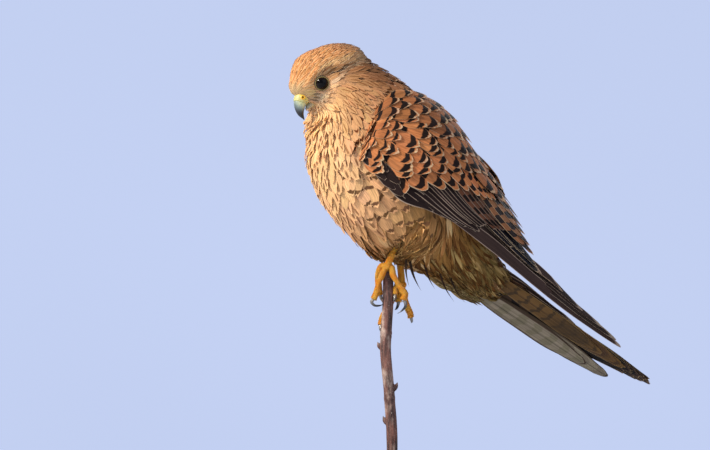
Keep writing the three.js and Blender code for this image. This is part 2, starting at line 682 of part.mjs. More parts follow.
const tailStub = trunkSolid.intersect(cutAt(rumpEnd, gap / 2));
const tailBlock = plate(4, 1, (u, t, face) => {
  const off = u * 2 - 1;
  return onTail(off * lerp(13, 12, t), lerp(24, 46, t), face ? 2.4 - 2 * off ** 2 : -6.4 + 1.5 * off ** 2);
});
const tailFeathers = [];
for (let i = 0; i < tailFan.length.length; i++) tailFeathers.push(tailFeather(i));
for (let k = -1; k <= 1; k++) tailFeathers.push(tailCovert(k, true), tailCovert(k, false));
const tail = join([tailStub, tailBlock, ...tailFeathers]);
node('tail', tail.intersect(cutAt(rumpEnd, gap / 2)), 'tailBarred');

export default kestrel;
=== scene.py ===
# A common kestrel, female in winter plumage, on a cut twig with a turned base.
# Everything is laid out in millimetres and scaled when a mesh is made. The bird faces -Y, its left is +X.
import bmesh
import bpy
import math
import numpy as np
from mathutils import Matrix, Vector
from mathutils.bvhtree import BVHTree
from mathutils.kdtree import KDTree


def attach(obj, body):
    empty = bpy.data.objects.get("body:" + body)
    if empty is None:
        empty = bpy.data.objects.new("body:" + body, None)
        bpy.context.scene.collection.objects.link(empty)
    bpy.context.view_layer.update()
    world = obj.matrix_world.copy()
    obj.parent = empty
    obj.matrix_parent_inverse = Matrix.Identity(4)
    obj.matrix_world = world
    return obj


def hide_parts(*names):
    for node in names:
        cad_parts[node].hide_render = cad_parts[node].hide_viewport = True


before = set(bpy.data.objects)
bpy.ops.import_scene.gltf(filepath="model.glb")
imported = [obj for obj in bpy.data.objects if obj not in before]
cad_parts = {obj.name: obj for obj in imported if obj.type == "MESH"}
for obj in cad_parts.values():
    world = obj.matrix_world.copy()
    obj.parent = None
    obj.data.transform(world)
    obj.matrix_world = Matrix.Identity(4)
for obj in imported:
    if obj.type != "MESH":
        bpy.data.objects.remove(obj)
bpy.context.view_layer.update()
mm = 0.001
pi = math.pi
scene = bpy.context.scene
rng = np.random.default_rng(20)
print("frame loaded:", len(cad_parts), "nodes")

# camera, light and floor
view = {
    "camera": (1195.07, -714.74, 23.91), "target": (-10.725, -18.576, 170.25),
    "lens": 109.2, "sensor": 36.0, "clip": (0.05, 60),
}
cam = bpy.data.objects.new("view_camera", bpy.data.cameras.new("view_camera"))
scene.collection.objects.link(cam)
cam.location = Vector(view["camera"]) * mm
cam.rotation_euler = (Vector(view["target"]) - Vector(view["camera"])).to_track_quat("-Z", "Y").to_euler()
cam.data.lens = view["lens"]
cam.data.sensor_width = view["sensor"]
cam.data.clip_start, cam.data.clip_end = view["clip"]
scene.camera = cam
scene.view_settings.view_transform = "Standard"

studio = {
    "wall": (0.532, 0.617, 0.868), "wallSize": (3.6, 2.2), "wallPlace": (-2.75, 1.55),
    "air": (0.46, 0.50, 0.62), "airStrength": 0.75,
    "floor": (0.70, 0.73, 0.80), "floorSize": 6.0,
    "lampAim": (0, 10, 180),
    "lamps": [  # place, size in metres, watts, colour
        ((60, -1250, 980), 0.3, 25, (1.0, 0.93, 0.82)),
        ((1150, 250, 700), 1.2, 3, (0.95, 0.97, 1.0)),
        ((-700, 700, 900), 0.8, 7, (1.0, 0.97, 0.92)),
    ],
}
for i, (place, size, watts, colour) in enumerate(studio["lamps"]):
    lamp = bpy.data.lights.new(f"lamp_{i}", "AREA")
    lamp.size = size
    lamp.energy = watts
    lamp.color = colour
    holder = bpy.data.objects.new(f"lamp_{i}", lamp)
    holder.location = Vector(place) * mm
    aim = Vector(studio["lampAim"]) - Vector(place)
    holder.rotation_euler = aim.to_track_quat("-Z", "Y").to_euler()
    scene.collection.objects.link(holder)

sky = bpy.data.worlds.new("studio_sky")
scene.world = sky
sky.use_nodes = True
sky.node_tree.nodes["Background"].inputs["Color"].default_value = (*studio["air"], 1)
sky.node_tree.nodes["Background"].inputs["Strength"].default_value = studio["airStrength"]


# small helpers for numbers and shapes
def along(values, t):  # a value read smoothly from evenly spaced stations
    values = np.asarray(values, float)
    last = len(values) - 1
    x = np.clip(t, 0, 1) * last
    i = np.minimum(np.floor(x).astype(int), last - 1)
    u = x - i
    if values.ndim > 1:
        u = u[..., None]
    a, b, c, d = (values[np.clip(i + k, 0, last)] for k in (-1, 0, 1, 2))
    return b + 0.5 * u * (c - a + u * (2 * a - 5 * b + 4 * c - d + u * (3 * (b - c) + d - a)))


def ease(x, low, high):  # smooth step from 0 at low to 1 at high
    u = np.clip((np.asarray(x, float) - low) / (high - low), 0, 1)
    return u * u * (3 - 2 * u)


def unit(v):
    return v / np.maximum(np.linalg.norm(v, axis=-1, keepdims=True), 1e-9)


def onSurface(v, out):  # a direction laid flat on a surface
    return unit(v - (v * out).sum(1, keepdims=True) * out)


def linear(hexText):  # a colour as painted, in linear light
    c = np.array([int(hexText[i:i + 2], 16) for i in (0, 2, 4)]) / 255
    return np.where(c < 0.04045, c / 12.92, ((c + 0.055) / 1.055) ** 2.4)


def toward(tone, share, other):  # a tone moved toward another by a share
    tone, other = (linear(c) if isinstance(c, str) else c for c in (tone, other))
    share = np.asarray(share)[..., None]
    return tone * (1 - share) + other * share


def spin(axis, degrees):
    c, s = math.cos(math.radians(degrees)), math.sin(math.radians(degrees))
    if axis == "x":
        return np.array([[1, 0, 0], [0, c, -s], [0, s, c]])
    if axis == "y":
        return np.array([[c, 0, s], [0, 1, 0], [-s, 0, c]])
    return np.array([[c, -s, 0], [s, c, 0], [0, 0, 1]])


def curveAt(points, t):  # a smooth line through points, evenly timed, t from 0 to 1
    p = np.asarray(points, float)
    p = np.vstack([2 * p[0] - p[1], p, 2 * p[-1] - p[-2]])
    x = np.clip(t, 0, 1) * (len(p) - 3)
    i = np.minimum(np.floor(x).astype(int), len(p) - 4)
    u = (x - i)[..., None]
    q = [p[i + k] for k in range(4)]
    d = [np.linalg.norm(q[k + 1] - q[k], axis=-1, keepdims=True) ** 0.5 for k in range(3)]
    d = [np.maximum(k, 1e-4) for k in d]
    m1 = ((q[1] - q[0]) / d[0] - (q[2] - q[0]) / (d[0] + d[1]) + (q[2] - q[1]) / d[1]) * d[1]
    m2 = ((q[2] - q[1]) / d[1] - (q[3] - q[1]) / (d[1] + d[2]) + (q[3] - q[2]) / d[2]) * d[1]
    c2 = -3 * q[1] + 3 * q[2] - 2 * m1 - m2
    c3 = 2 * q[1] - 2 * q[2] + m1 + m2
    return q[1] + m1 * u + c2 * u ** 2 + c3 * u ** 3


def runOf(line, t, e=1e-3):  # the direction of a line at t
    return unit(line(np.clip(t + e, 0, 1)) - line(np.clip(t - e, 0, 1)))


def rodPoint(points, radii, t, angle, flat=1.0):  # a round rod along a line
    run = runOf(lambda k: curveAt(points, k), t)
    first = unit(np.subtract(points[1], points[0]))
    away = np.array([0, 1.0, 0]) if abs(first[0]) > 0.8 else np.array([1.0, 0, 0])
    side = unit(away - (run @ away)[..., None] * run)
    over = np.cross(run, side)
    r = along(radii, t)[..., None]
    return curveAt(points, t) + side * r * np.cos(angle)[..., None] + over * r * flat * np.sin(angle)[..., None]


def loft(place, sides, steps):  # a closed skin of rings with a middle point at each end
    t, angle = np.meshgrid(np.linspace(0, 1, steps + 1), np.arange(sides) / sides * 2 * pi, indexing="ij")
    rings = place(t, angle)
    verts = np.vstack([rings.reshape(-1, 3), rings[0].mean(0), rings[-1].mean(0)])
    k = np.arange(sides)
    n = (k + 1) % sides
    faces = []
    for i in range(steps):
        a, b = i * sides, (i + 1) * sides
        faces += np.stack([a + k, a + n, b + n, b + k], 1).tolist()
    first, last = steps * sides, len(verts) - 2
    faces += np.stack([n, k, np.full(sides, last)], 1).tolist()
    faces += np.stack([first + k, first + n, np.full(sides, last + 1)], 1).tolist()
    return verts, faces


def ringLoft(place, sides, steps):  # a closed ring
    t, angle = np.meshgrid(np.arange(steps) / steps, np.arange(sides) / sides * 2 * pi, indexing="ij")
    verts = place(t, angle).reshape(-1, 3)
    grid = np.arange(steps * sides).reshape(steps, sides)
    nextRow, nextSide = np.roll(grid, -1, 0), np.roll(grid, -1, 1)
    faces = np.stack([grid, nextSide, np.roll(nextRow, -1, 1), nextRow], -1).reshape(-1, 4)
    return verts, faces.tolist()


def mergeShells(shells):
    verts, faces, start = [], [], 0
    for v, f in shells:
        verts.append(v)
        faces += [[i + start for i in face] for face in f]
        start += len(v)
    return np.vstack(verts), faces


def makeObject(name, verts, faces, finish, slot, nodes=()):
    mesh = bpy.data.meshes.new(name)
    mesh.from_pydata((np.asarray(verts) * mm).tolist(), [], faces if isinstance(faces, list) else faces.tolist())
    mesh.shade_smooth()
    mesh.materials.append(finish)
    made = bpy.data.objects.new(name, mesh)
    scene.collection.objects.link(made)
    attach(made, "root")
    if nodes:
        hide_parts(*nodes)
    return made


def makeSolid(name, shell, finish, slot, nodes=()):  # a closed form with every face turned outward
    made = makeObject(name, *shell, finish, slot, nodes)
    work = bmesh.new()
    work.from_mesh(made.data)
    bmesh.ops.recalc_face_normals(work, faces=work.faces)
    work.to_mesh(made.data)
    work.free()
    return made


def remesh(made, voxel, smoothing):
    for kind, fields in (("REMESH", {"mode": "VOXEL", "voxel_size": voxel * mm}),
                         ("SMOOTH", {"factor": 0.5, "iterations": smoothing})):
        step = made.modifiers.new(kind, kind)
        for key, value in fields.items():
            setattr(step, key, value)
    shape = bpy.data.meshes.new_from_object(made.evaluated_get(bpy.context.evaluated_depsgraph_get()))
    made.modifiers.clear()
    old = made.data
    made.data = shape
    for finish in old.materials:
        if finish and finish.name not in shape.materials:
            shape.materials.append(finish)
    shape.shade_smooth()


def paint(mesh, values, name="ground"):  # a colour for each vertex
    layer = mesh.attributes.new(name, "FLOAT_COLOR", "POINT")
    layer.data.foreach_set("color", np.hstack([values, np.ones((len(values), 1))]).astype(np.float32).ravel())


def readField(items, key, width, kind=np.int32):  # one field of every item, a row for each
    values = np.empty(len(items) * width, kind)
    items.foreach_get(key, values)
    return values.reshape(-1, width)


def readPoints(mesh):
    return readField(mesh.vertices, "co", 3, np.float32).astype(float) / mm


def writePoints(mesh, points):
    mesh.vertices.foreach_set("co", (points / 1000).astype(np.float32).ravel())
    mesh.update()


def finderOf(points):
    tree = KDTree(len(points))
    for i, p in enumerate(points):
        tree.insert(p, i)
    tree.balance()
    return tree


# materials
class Graph:
    def __init__(self, name, **shader):
        self.made = bpy.data.materials.new(name)
        self.made.use_nodes = True
        self.tree = self.made.node_tree
        self.tree.nodes.clear()
        self.shader = self.add("ShaderNodeBsdfPrincipled")
        out = self.add("ShaderNodeOutputMaterial")
        self.tree.links.new(self.shader.outputs[0], out.inputs[0])
        for key, value in shader.items():
            self.shader.inputs[key].default_value = value

    def add(self, kind, **fields):
        made = self.tree.nodes.new(kind)
        for key, value in fields.items():
            setattr(made, key, value)
        return made

    def put(self, value, socket):
        if isinstance(value, bpy.types.NodeSocket):
            self.tree.links.new(value, socket)
        elif isinstance(value, np.ndarray):
            socket.default_value = (*value, 1)
        else:
            socket.default_value = value

    def fed(self, kind, values, **fields):  # a node with values on its first inputs
        made = self.add(kind, **fields)
        for value, socket in zip(values, made.inputs):
            self.put(value, socket)
        return made

    def math(self, kind, *values):
        return self.fed("ShaderNodeMath", values, operation=kind).outputs[0]

    def times(self, a, b):
        return self.math("MULTIPLY", a, b)

    def plus(self, a, b):
        return self.math("ADD", a, b)

    def less(self, a, b):
        return self.math("SUBTRACT", a, b)

    def rise(self, value, low, high, start=0.0, end=1.0):  # a smooth step
        values = (value, low, high, start, end)
        return self.fed("ShaderNodeMapRange", values, interpolation_type="SMOOTHSTEP").outputs[0]

    def fall(self, value, low, high):
        return self.rise(value, low, high, 1.0, 0.0)

    def point(self, x, y, z=0.0):
        return self.fed("ShaderNodeCombineXYZ", (x, y, z)).outputs[0]

    def parts(self, vector):
        return self.fed("ShaderNodeSeparateXYZ", (vector,)).outputs

    def mix(self, share, a, b, kind="MIX"):
        made = self.add("ShaderNodeMix", data_type="RGBA", blend_type=kind)
        for value, k in ((share, 0), (a, 6), (b, 7)):
            self.put(value, made.inputs[k])
        return made.outputs[2]

    def shaded(self, colour, shade):  # a colour made lighter or darker
        return self.mix(1.0, colour, self.point(shade, shade, shade), "MULTIPLY")

    def noise(self, scale, where=None, detail=2.0, rough=0.5):
        made = self.add("ShaderNodeTexNoise")
        made.inputs["Scale"].default_value = scale
        made.inputs["Detail"].default_value = detail
        made.inputs["Roughness"].default_value = rough
        self.put(where or self.place(), made.inputs["Vector"])
        return made.outputs["Fac"]

    def place(self):
        return self.add("ShaderNodeTexCoord").outputs["Object"]

    def named(self, name, part="Fac"):
        return self.add("ShaderNodeAttribute", attribute_name=name).outputs[part]

    def stretched(self, x, y, z):  # object coordinates stretched along the axes
        made = self.fed("ShaderNodeMapping", (self.place(),))
        made.inputs["Scale"].default_value = (x, y, z)
        return made.outputs[0]

    def finishWith(self, colour, height, depth, rough=None):
        self.put(colour, self.shader.inputs["Base Color"])
        bump = self.add("ShaderNodeBump")
        bump.inputs["Distance"].default_value = depth
        self.put(height, bump.inputs["Height"])
        self.put(bump.outputs[0], self.shader.inputs["Normal"])
        if rough:
            self.put(rough, self.shader.inputs["Roughness"])
        return self.made


vaneLook = {"specular": 0.1, "barbs": 2.2, "shade": (0.66, 1.24), "depth": 0.0002, "soft": 0.07, "shaft": "1e1612"}


# Feathers read their own lengthways and crossways place from the map "vane" and their marks from attributes:
# streak (width, start, strength), bars (count, phase, half width), rim (width, aspect, chevron), reach of the bars,
# and lean, how many times wider one vane is than the other.
def featherFinish(name, rough, lines, quill=0.0):
    g = Graph(name, **{"Roughness": rough, "Specular IOR Level": vaneLook["specular"]})
    u, v, _ = g.parts(g.add("ShaderNodeUVMap", uv_map="vane").outputs[0])
    across = g.math("ABSOLUTE", g.less(g.times(u, 2.0), 1.0))
    seed = g.named("seed")
    barbs = g.noise(1.0, g.point(g.times(u, lines), g.times(v, vaneLook["barbs"]), seed), 3.0, 0.6)
    wobble = g.times(g.less(g.noise(5.0, g.point(u, v, seed), 3.0), 0.5), 0.3)
    # the streak beside the shaft
    width, start, strength = g.parts(g.named("streak", "Vector"))
    body = g.times(g.rise(v, g.less(start, 0.12), g.plus(start, 0.1)), g.fall(v, 0.84, 0.95))
    reach = g.times(width, g.plus(g.times(v, 0.9), 0.35))
    near = g.fall(g.plus(across, g.times(wobble, 0.5)), g.times(reach, 0.72), g.times(reach, 1.2))
    streak = g.times(g.times(body, near), strength)
    # the bars across the vane
    count, phase, half = g.parts(g.named("bars", "Vector"))
    edge, aspect, chevron = g.parts(g.named("rim", "Vector"))
    bent = g.plus(g.plus(v, g.times(chevron, across)), g.times(wobble, 0.25))
    turn = g.math("FRACT", g.plus(g.times(bent, count), phase))
    gap = g.times(g.math("ABSOLUTE", g.less(turn, 0.5)), 2.0)
    spread = g.named("reach")
    bar = g.times(g.fall(gap, g.less(half, vaneLook["soft"]), g.plus(half, vaneLook["soft"])),
                  g.fall(g.plus(across, wobble), g.less(spread, 0.09), g.plus(spread, 0.05)))
    # the pale rim
    broader = g.rise(u, 0.49, 0.51, 1.0, g.named("lean"))
    toEdge = g.math("MINIMUM", g.times(g.less(1.0, across), broader), g.times(g.less(1.0, v), aspect))
    rim = g.fall(g.plus(toEdge, g.times(wobble, 0.3)), g.times(edge, 0.55), g.times(edge, 1.15))
    ink = g.named("ink", "Color")
    colour = g.mix(streak, g.named("ground", "Color"), ink)
    colour = g.mix(bar, colour, ink)
    colour = g.mix(rim, colour, g.named("fringe", "Color"))
    if quill:
        colour = g.mix(g.rise(across, 0.02, 0.06, quill, 0.0), colour, linear(vaneLook["shaft"]))
    return g.finishWith(g.shaded(colour, g.rise(barbs, 0.25, 0.78, *vaneLook["shade"])), barbs, vaneLook["depth"])


def paintedFinish(name, scale, depth, lightness, **shader):  # a painted ground with fine grain
    g = Graph(name, **shader)
    grain = g.noise(scale, detail=5.0, rough=0.6)
    shade = g.rise(grain, 0.3, 0.72, 1 - lightness, 1 + lightness)
    return g.finishWith(g.shaded(g.named("ground", "Color"), shade), grain, depth)


softFeather = featherFinish("soft_feather", 0.85, 17.0)
wingFeather = featherFinish("wing_feather", 0.72, 9.0, 0.25)
quillFeather = featherFinish("quill_feather", 0.6, 12.0, 0.5)
downSkin = paintedFinish("down_skin", 900, 0.0004, 0.35, Roughness=0.9)
hornFinish = paintedFinish("bill_horn", 700, 0.00003, 0.07, **{"Roughness": 0.3, "Coat Weight": 0.15})
cereFinish = paintedFinish("cere_wax", 1500, 0.00008, 0.1,
                           **{"Roughness": 0.42, "Subsurface Weight": 0.1, "Subsurface Scale": 0.001})
lidFinish = paintedFinish("lid_skin", 2600, 0.00012, 0.25, Roughness=0.6)
eyeFinish = paintedFinish("eye_gloss", 900, 0.0, 0.2, **{"Roughness": 0.06, "Specular IOR Level": 0.15})
clawFinish = paintedFinish("claw_horn", 1200, 0.00003, 0.2, **{"Roughness": 0.3, "Coat Weight": 0.2})


# forms of the body, the same named sizes as the solids
trunk = {
    "y": [-46, -34, -20, -6, 8, 22, 37, 53, 70, 88],
    "z": [262, 256, 245, 228, 208, 188, 171, 157, 146, 137],
    "side": [20, 30.5, 37.5, 41.5, 43.5, 42.5, 36, 27, 19, 11],
    "back": [18, 24.5, 30, 38, 43.5, 44.5, 38, 27, 15, 5],
    "front": [21, 39, 50.5, 57.5, 58, 51, 36.5, 23, 18.5, 14],
}
skull = {
    "y": [-41, -35, -27, -16, -6, 2, 8.2, 11.2, 13.4],
    "z": [-5, -5, -4, -3, -1, 0.2, 1.4, 5.2, 7],
    "side": [6, 15, 20, 20.5, 16.6, 13, 9.4, 5.6, 2.6],
    "top": [6, 13, 18, 21.5, 22, 18.5, 13, 7.6, 2],
    "chin": [6, 14, 18, 19.5, 19, 16, 10.5, 5.6, 2.6],
}
head = {"centre": (-1.5, -55.3, 256.2), "pitch": 44, "yaw": 5}
headTurn = spin("z", -head["yaw"]) @ spin("x", head["pitch"]) @ spin("z", 180)
thigh = {"line": [[23, 18, 176], [21, 12, 168], [14.5, 5, 160], [8, 0.6, 152.5]], "radii": [15, 17, 13, 6]}
brow = {
    "line": [[0.72, 8, 4.6], [0.92, 3, 7], [1, -3, 7.7], [1.04, -10, 6.6], [0.98, -16, 4.8]], "side": 13.2,
    "radii": [0.7, 1.7, 2.3, 1.9, 0.6],
}
eye = {"side": 10.9, "forward": -2, "up": 0.2, "toFront": 24, "radius": 5.2, "lid": 4.2, "bulge": 0.25}
bodySkin = {
    "under": {"skull": 0.8, "thigh": 2.4, "brow": 0.45},  # how deep it lies under each outer form
    "voxel": 1.1, "smoothing": 4, "napeRounds": 180,
}


def onHead(p):
    return np.asarray(p, float) @ headTurn.T + np.array(head["centre"])


def toHead(p):
    return (p - np.array(head["centre"])) @ headTurn


def trunkPoint(t, angle, out=0.0):
    line = lambda s: np.stack([0 * s, along(trunk["y"], s), along(trunk["z"], s)], -1)
    run = runOf(line, t, 0.01)
    up = np.stack([0 * t, -run[..., 2], run[..., 1]], -1)
    c, s = np.cos(angle), np.sin(angle)
    deep = np.where(c > 0, along(trunk["back"], t), along(trunk["front"], t)) + out
    across = (along(trunk["side"], t) + out) * s
    return line(t) + up * (deep * c)[..., None] + across[..., None] * np.array([1.0, 0, 0])


def skullPoint(t, angle, out=0.0):
    c, s = np.cos(angle), np.sin(angle)
    tall = np.where(c > 0, along(skull["top"], t), along(skull["chin"], t)) + out
    side = (along(skull["side"], t) + out) * s
    return onHead(np.stack([side, along(skull["y"], t), along(skull["z"], t) + tall * c], -1))


def thighPoint(sign, t, angle, out=0.0):
    return rodPoint(np.array(thigh["line"]) * [sign, 1, 1], np.add(thigh["radii"], out), t, angle)


def browPoint(sign, t, angle, out=0.0):
    line = onHead([[sign * s * brow["side"], y, z] for s, y, z in brow["line"]])
    return rodPoint(line, np.add(brow["radii"], out), t, angle)


def trunkDepth(t, angle):  # how deep the skin lies under the outer face of the coat
    front = ease(-np.cos(angle), -0.3, 0.7)
    return (1.6 + 1.2 * front) * ease(t, -0.1, 0.3) + 0.6


def eyeCentre(sign):
    return onHead([sign * eye["side"], eye["forward"], eye["up"]])


under = bodySkin["under"]
shells = [
    loft(lambda t, a: trunkPoint(t, a, -trunkDepth(t, a)), 72, 80),
    loft(lambda t, a: skullPoint(t, a, -under["skull"]), 48, 48),
]
for sign in (1, -1):
    shells.append(loft(lambda t, a: thighPoint(sign, t, a, -under["thigh"]), 28, 24))
    shells.append(loft(lambda t, a: browPoint(sign, t, a, -under["brow"]), 12, 16))
skin = makeSolid("body_skin", mergeShells(shells), downSkin, "plumage_buff",
                 ["head", "neck", "torso", "thigh_left", "thigh_right"])
remesh(skin, bodySkin["voxel"], bodySkin["smoothing"])


def fillNape(rounds):  # the skin is drawn smooth where the head meets the neck, only outward
    points = readPoints(skin.data)
    ends = readField(skin.data.edges, "vertices", 2)
    share = (0.9 * np.exp(-((toHead(points)[:, 1] + 24) / 14) ** 2))[:, None]
    share = share * ease(toHead(points)[:, 2], -22, -12)[:, None]
    count = np.bincount(ends.ravel(), minlength=len(points))[:, None]
    normals = readField(skin.data.vertices, "normal", 3, np.float32)
    gather = lambda a, b, k: np.bincount(ends[:, a], points[ends[:, b], k], len(points))
    for _ in range(rounds):
        total = np.stack([gather(0, 1, k) + gather(1, 0, k) for k in range(3)], 1)
        step = total / np.maximum(count, 1) - points
        points = points + share * step * ((step * normals).sum(1, keepdims=True) > 0)
    writePoints(skin.data, points)


# the left leg where it leaves the feathers: "off" is how far its middle lies along "right" and "ahead" how far its
# front lies along "front", at even steps from the height "low" up by "tall"
leg = {
    "right": np.array([0.5, 0.866]), "front": np.array([0.866, -0.5]), "low": 145.4, "tall": 14.9,
    "off": [0.3, 3.9, 7.8], "ahead": [5.3, 7.5, 9.1], "clear": 3.4, "span": (138, 154.5),
}


def fromLeg(points, way, line):
    high = np.clip((points[:, 2] - leg["low"]) / leg["tall"], 0, 1)
    return points[:, :2] @ leg[way] - along(leg[line], high)


def openLeg():  # the belly draws back behind the left leg where it leaves the feathers
    points = readPoints(skin.data)
    off, ahead = fromLeg(points, "right", "off"), fromLeg(points, "front", "ahead")
    share = np.exp(-(off / 4.5) ** 2) * (1 - ease(points[:, 2], 154, 162))
    back = np.maximum(ahead + 1.5, 0) * (ahead < 16) * share
    points[:, :2] -= back[:, None] * leg["front"]
    writePoints(skin.data, points)


fillNape(bodySkin["napeRounds"])
openLeg()
skinPoints = readPoints(skin.data)
skinTree = BVHTree.FromPolygons(skinPoints.tolist(), [tuple(p.vertices) for p in skin.data.polygons])
print("skin made:", len(skin.data.polygons), "faces")


def drape(points, heights):  # points moved onto the skin and lifted off it
    shape = points.shape
    flat = points.reshape(-1, 3)
    foot, out = np.empty_like(flat), np.empty_like(flat)
    nearest = skinTree.find_nearest
    for i, p in enumerate(flat.tolist()):
        foot[i], out[i] = nearest(p)[:2]
    out = unit(out)
    return (foot + out * heights.reshape(-1, 1)).reshape(shape), out.reshape(shape)


# vanes: each feather is a thin closed leaf of rows and columns
def vaneSheet(count, rows, columns, outline, rounding, fray):
    stops = np.linspace(0, 1, rows + 1)
    b = np.broadcast_to(stops[None, :, None], (count, rows + 1, columns + 1))
    a = np.broadcast_to(np.linspace(-1, 1, columns + 1)[None, None, :], b.shape)
    jag = rng.uniform(-1, 0.4, (count, 1, columns + 1)) * np.reshape(fray, (-1, 1, 1))
    run = b - rounding * a ** 2 * b ** 2 + jag * b ** 5
    return a, b, run, a * along(outline, b)


def sheetFaces(rows, columns):
    w = columns + 1
    top = np.arange((rows + 1) * w).reshape(rows + 1, w)
    under = top.copy()
    under[1:-1, 1:-1] = top.size + np.arange((rows - 1) * (columns - 1)).reshape(rows - 1, -1)
    quads = lambda g: np.stack([g[:-1, :-1], g[:-1, 1:], g[1:, 1:], g[1:, :-1]], -1).reshape(-1, 4)
    return np.vstack([quads(top), quads(under)[:, ::-1]])


def vaneGroup(points, normals, a, b, thick, root, marks):
    return {"points": points, "normals": normals, "a": a, "b": b, "thick": thick, "root": root, "marks": marks}


def vanePiece(name, groups, finish, slot, nodes=()):
    verts, faces, maps, bake, marks, edge, start = [], [], [], [], {}, [], 0
    for g in groups:
        p, n = g["points"], g["normals"]
        count, rows, columns = p.shape[0], p.shape[1] - 1, p.shape[2] - 1
        pack = lambda x: np.concatenate([x.reshape(count, -1, x.shape[-1]),
                                         x[:, 1:-1, 1:-1].reshape(count, -1, x.shape[-1])], 1)
        both = pack(p)
        size = both.shape[1]
        inner = (rows - 1) * (columns - 1)
        both[:, size - inner:] -= pack(n)[:, size - inner:] * g["thick"]
        quads = sheetFaces(rows, columns)
        facing = np.cross(p[:, 1:-1, 2:] - p[:, 1:-1, 1:-1], p[:, 2:, 1:-1] - p[:, 1:-1, 1:-1])
        if (facing * n[:, 1:-1, 1:-1]).sum() < 0:
            quads = quads[:, ::-1]
        verts.append(both.reshape(-1, 3))
        faces.append((quads[None] + (np.arange(count) * size + start)[:, None, None]).reshape(-1, 4))
        start += count * size
        local = pack(np.stack([g["a"], g["b"]], -1))
        maps.append((local * [0.5, 1] + [0.5, 0]).reshape(-1, 2))
        bake.append((g["root"][:, None] + 0.003 * (local * [0.5, 1] - [0, 0.5])).reshape(-1, 2))
        for key, value in {"lean": np.ones(count), **g["marks"]}.items():
            marks.setdefault(key, []).append(np.repeat(value, size, axis=0))
        rim = np.ones((rows + 1, columns + 1), bool)
        rim[1:-1, 1:-1] = False
        edge.append(np.tile(np.concatenate([rim.ravel(), np.zeros(inner, bool)]), count))
    made = makeObject(name, np.vstack(verts), np.vstack(faces), finish, slot, nodes)
    mesh = made.data
    onEdge = np.concatenate(edge)[readField(mesh.edges, "vertices", 2)]
    mesh.attributes.new("sharp_edge", "BOOLEAN", "EDGE").data.foreach_set("value", onEdge.all(1))
    corner = readField(mesh.loops, "vertex_index", 1).ravel()
    for mapName, values in (("vane", maps), ("OFBake", bake)):
        layer = mesh.uv_layers.new(name=mapName)
        layer.data.foreach_set("uv", np.vstack(values)[corner].astype(np.float32).ravel())
    for key, values in marks.items():
        values = np.concatenate(values)
        if values.ndim == 1:
            mesh.attributes.new(key, "FLOAT", "POINT").data.foreach_set("value", values.astype(np.float32))
        elif key in ("ground", "ink", "fringe"):
            paint(mesh, values, key)
        else:
            layer = mesh.attributes.new(key, "FLOAT_VECTOR", "POINT")
            layer.data.foreach_set("vector", values.astype(np.float32).ravel())
    print(name, len(mesh.polygons) * 2, "triangles")


def wide(count, *values):  # the same mark on every feather
    return np.tile(np.array(values, float), (count, 1))


def jitterTone(tone, amount):
    n = len(tone)
    return np.clip(tone * (1 + rng.normal(0, amount, (n, 1))) * (1 + rng.normal(0, amount * 0.3, (n, 3))), 0.002, 1)


def tones(n, ground, ink, fringe, amount=0.08):
    return {"ground": jitterTone(wide(n, *linear(ground)), amount), "ink": jitterTone(wide(n, *linear(ink)), 0.12),
            "fringe": jitterTone(wide(n, *linear(fringe)), 0.06)}


def barMarks(n, count, tipGap, half, chevron, rim, aspect, reach=1.2):  # bars counted back from the tip
    phase = (0.5 - (1 - tipGap) * np.asarray(count, float)) * (np.asarray(count) > 0)
    spread = lambda x: np.broadcast_to(np.asarray(x, float), n)
    return {"bars": np.stack([spread(count), spread(phase) % 1, spread(half)], 1), "reach": spread(reach) * 1.0,
            "rim": np.stack([spread(rim), spread(aspect), spread(chevron)], 1),
            "streak": wide(n, 0.05, 0.3, 0)}


def blended(t, angle, tone, patches):  # a ground colour with soft patches of others
    for t0, angle0, spreadT, spreadAngle, colour in patches:
        share = np.exp(-((t - t0) / spreadT) ** 2 - ((angle - angle0) / spreadAngle) ** 2)
        tone = toward(tone, share, colour)
    return tone


# roots of the coat: many possible places on each form, thinned to an even spacing across the joins
def places(part, place, flow, rows, columns, gaps, zone=None):
    t, angle = np.meshgrid(np.linspace(0.02, 0.995, rows), np.arange(columns) / columns * 2 * pi, indexing="ij")
    t = np.clip(t + rng.uniform(-0.5, 0.5, t.shape) / rows, 0.01, 0.997).ravel()
    angle = ((angle + rng.uniform(-0.5, 0.5, angle.shape) / columns * 2 * pi) % (2 * pi)).ravel()
    spot = place(t, angle)
    run = runOf(lambda k: place(k, angle), t, 0.01) * flow
    turned = np.degrees(np.abs((angle + pi) % (2 * pi) - pi))
    across, down = gaps(t, turned, spot)
    foot, out = drape(spot, np.zeros(len(spot)))
    above = ((spot - foot) * out).sum(1)
    keep = (above > -0.2) & (np.linalg.norm(spot - foot, axis=1) < 7)
    if zone:
        keep &= zone(t, turned, spot)
    chart = np.stack([angle / (2 * pi) * 0.9 + 0.05, t * 0.9 + 0.05], 1)
    return drop({"part": np.full(len(t), part), "t": t, "angle": turned, "foot": foot, "out": out, "run": run,
                 "across": across, "down": down, "chart": chart}, keep)


def drop(roots, keep):
    return {k: v[keep] for k, v in roots.items()}


def skullGaps(t, angle, spot):
    local = toHead(spot)
    face = ease(local[:, 1], -8, 6)
    return 1.5 - 0.5 * face * (local[:, 2] < 2) + 0 * t, 3.2 - 1.4 * face * (local[:, 2] < 2)


def evenGaps(across, down):
    return lambda t, angle, spot: (across + 0 * t, down + 0 * t)


def flankShare(t, angle):
    return np.exp(-((angle - 121) / 32) ** 2) * ease(t, 0.23, 0.32) * (1 - ease(t, 0.52, 0.6))


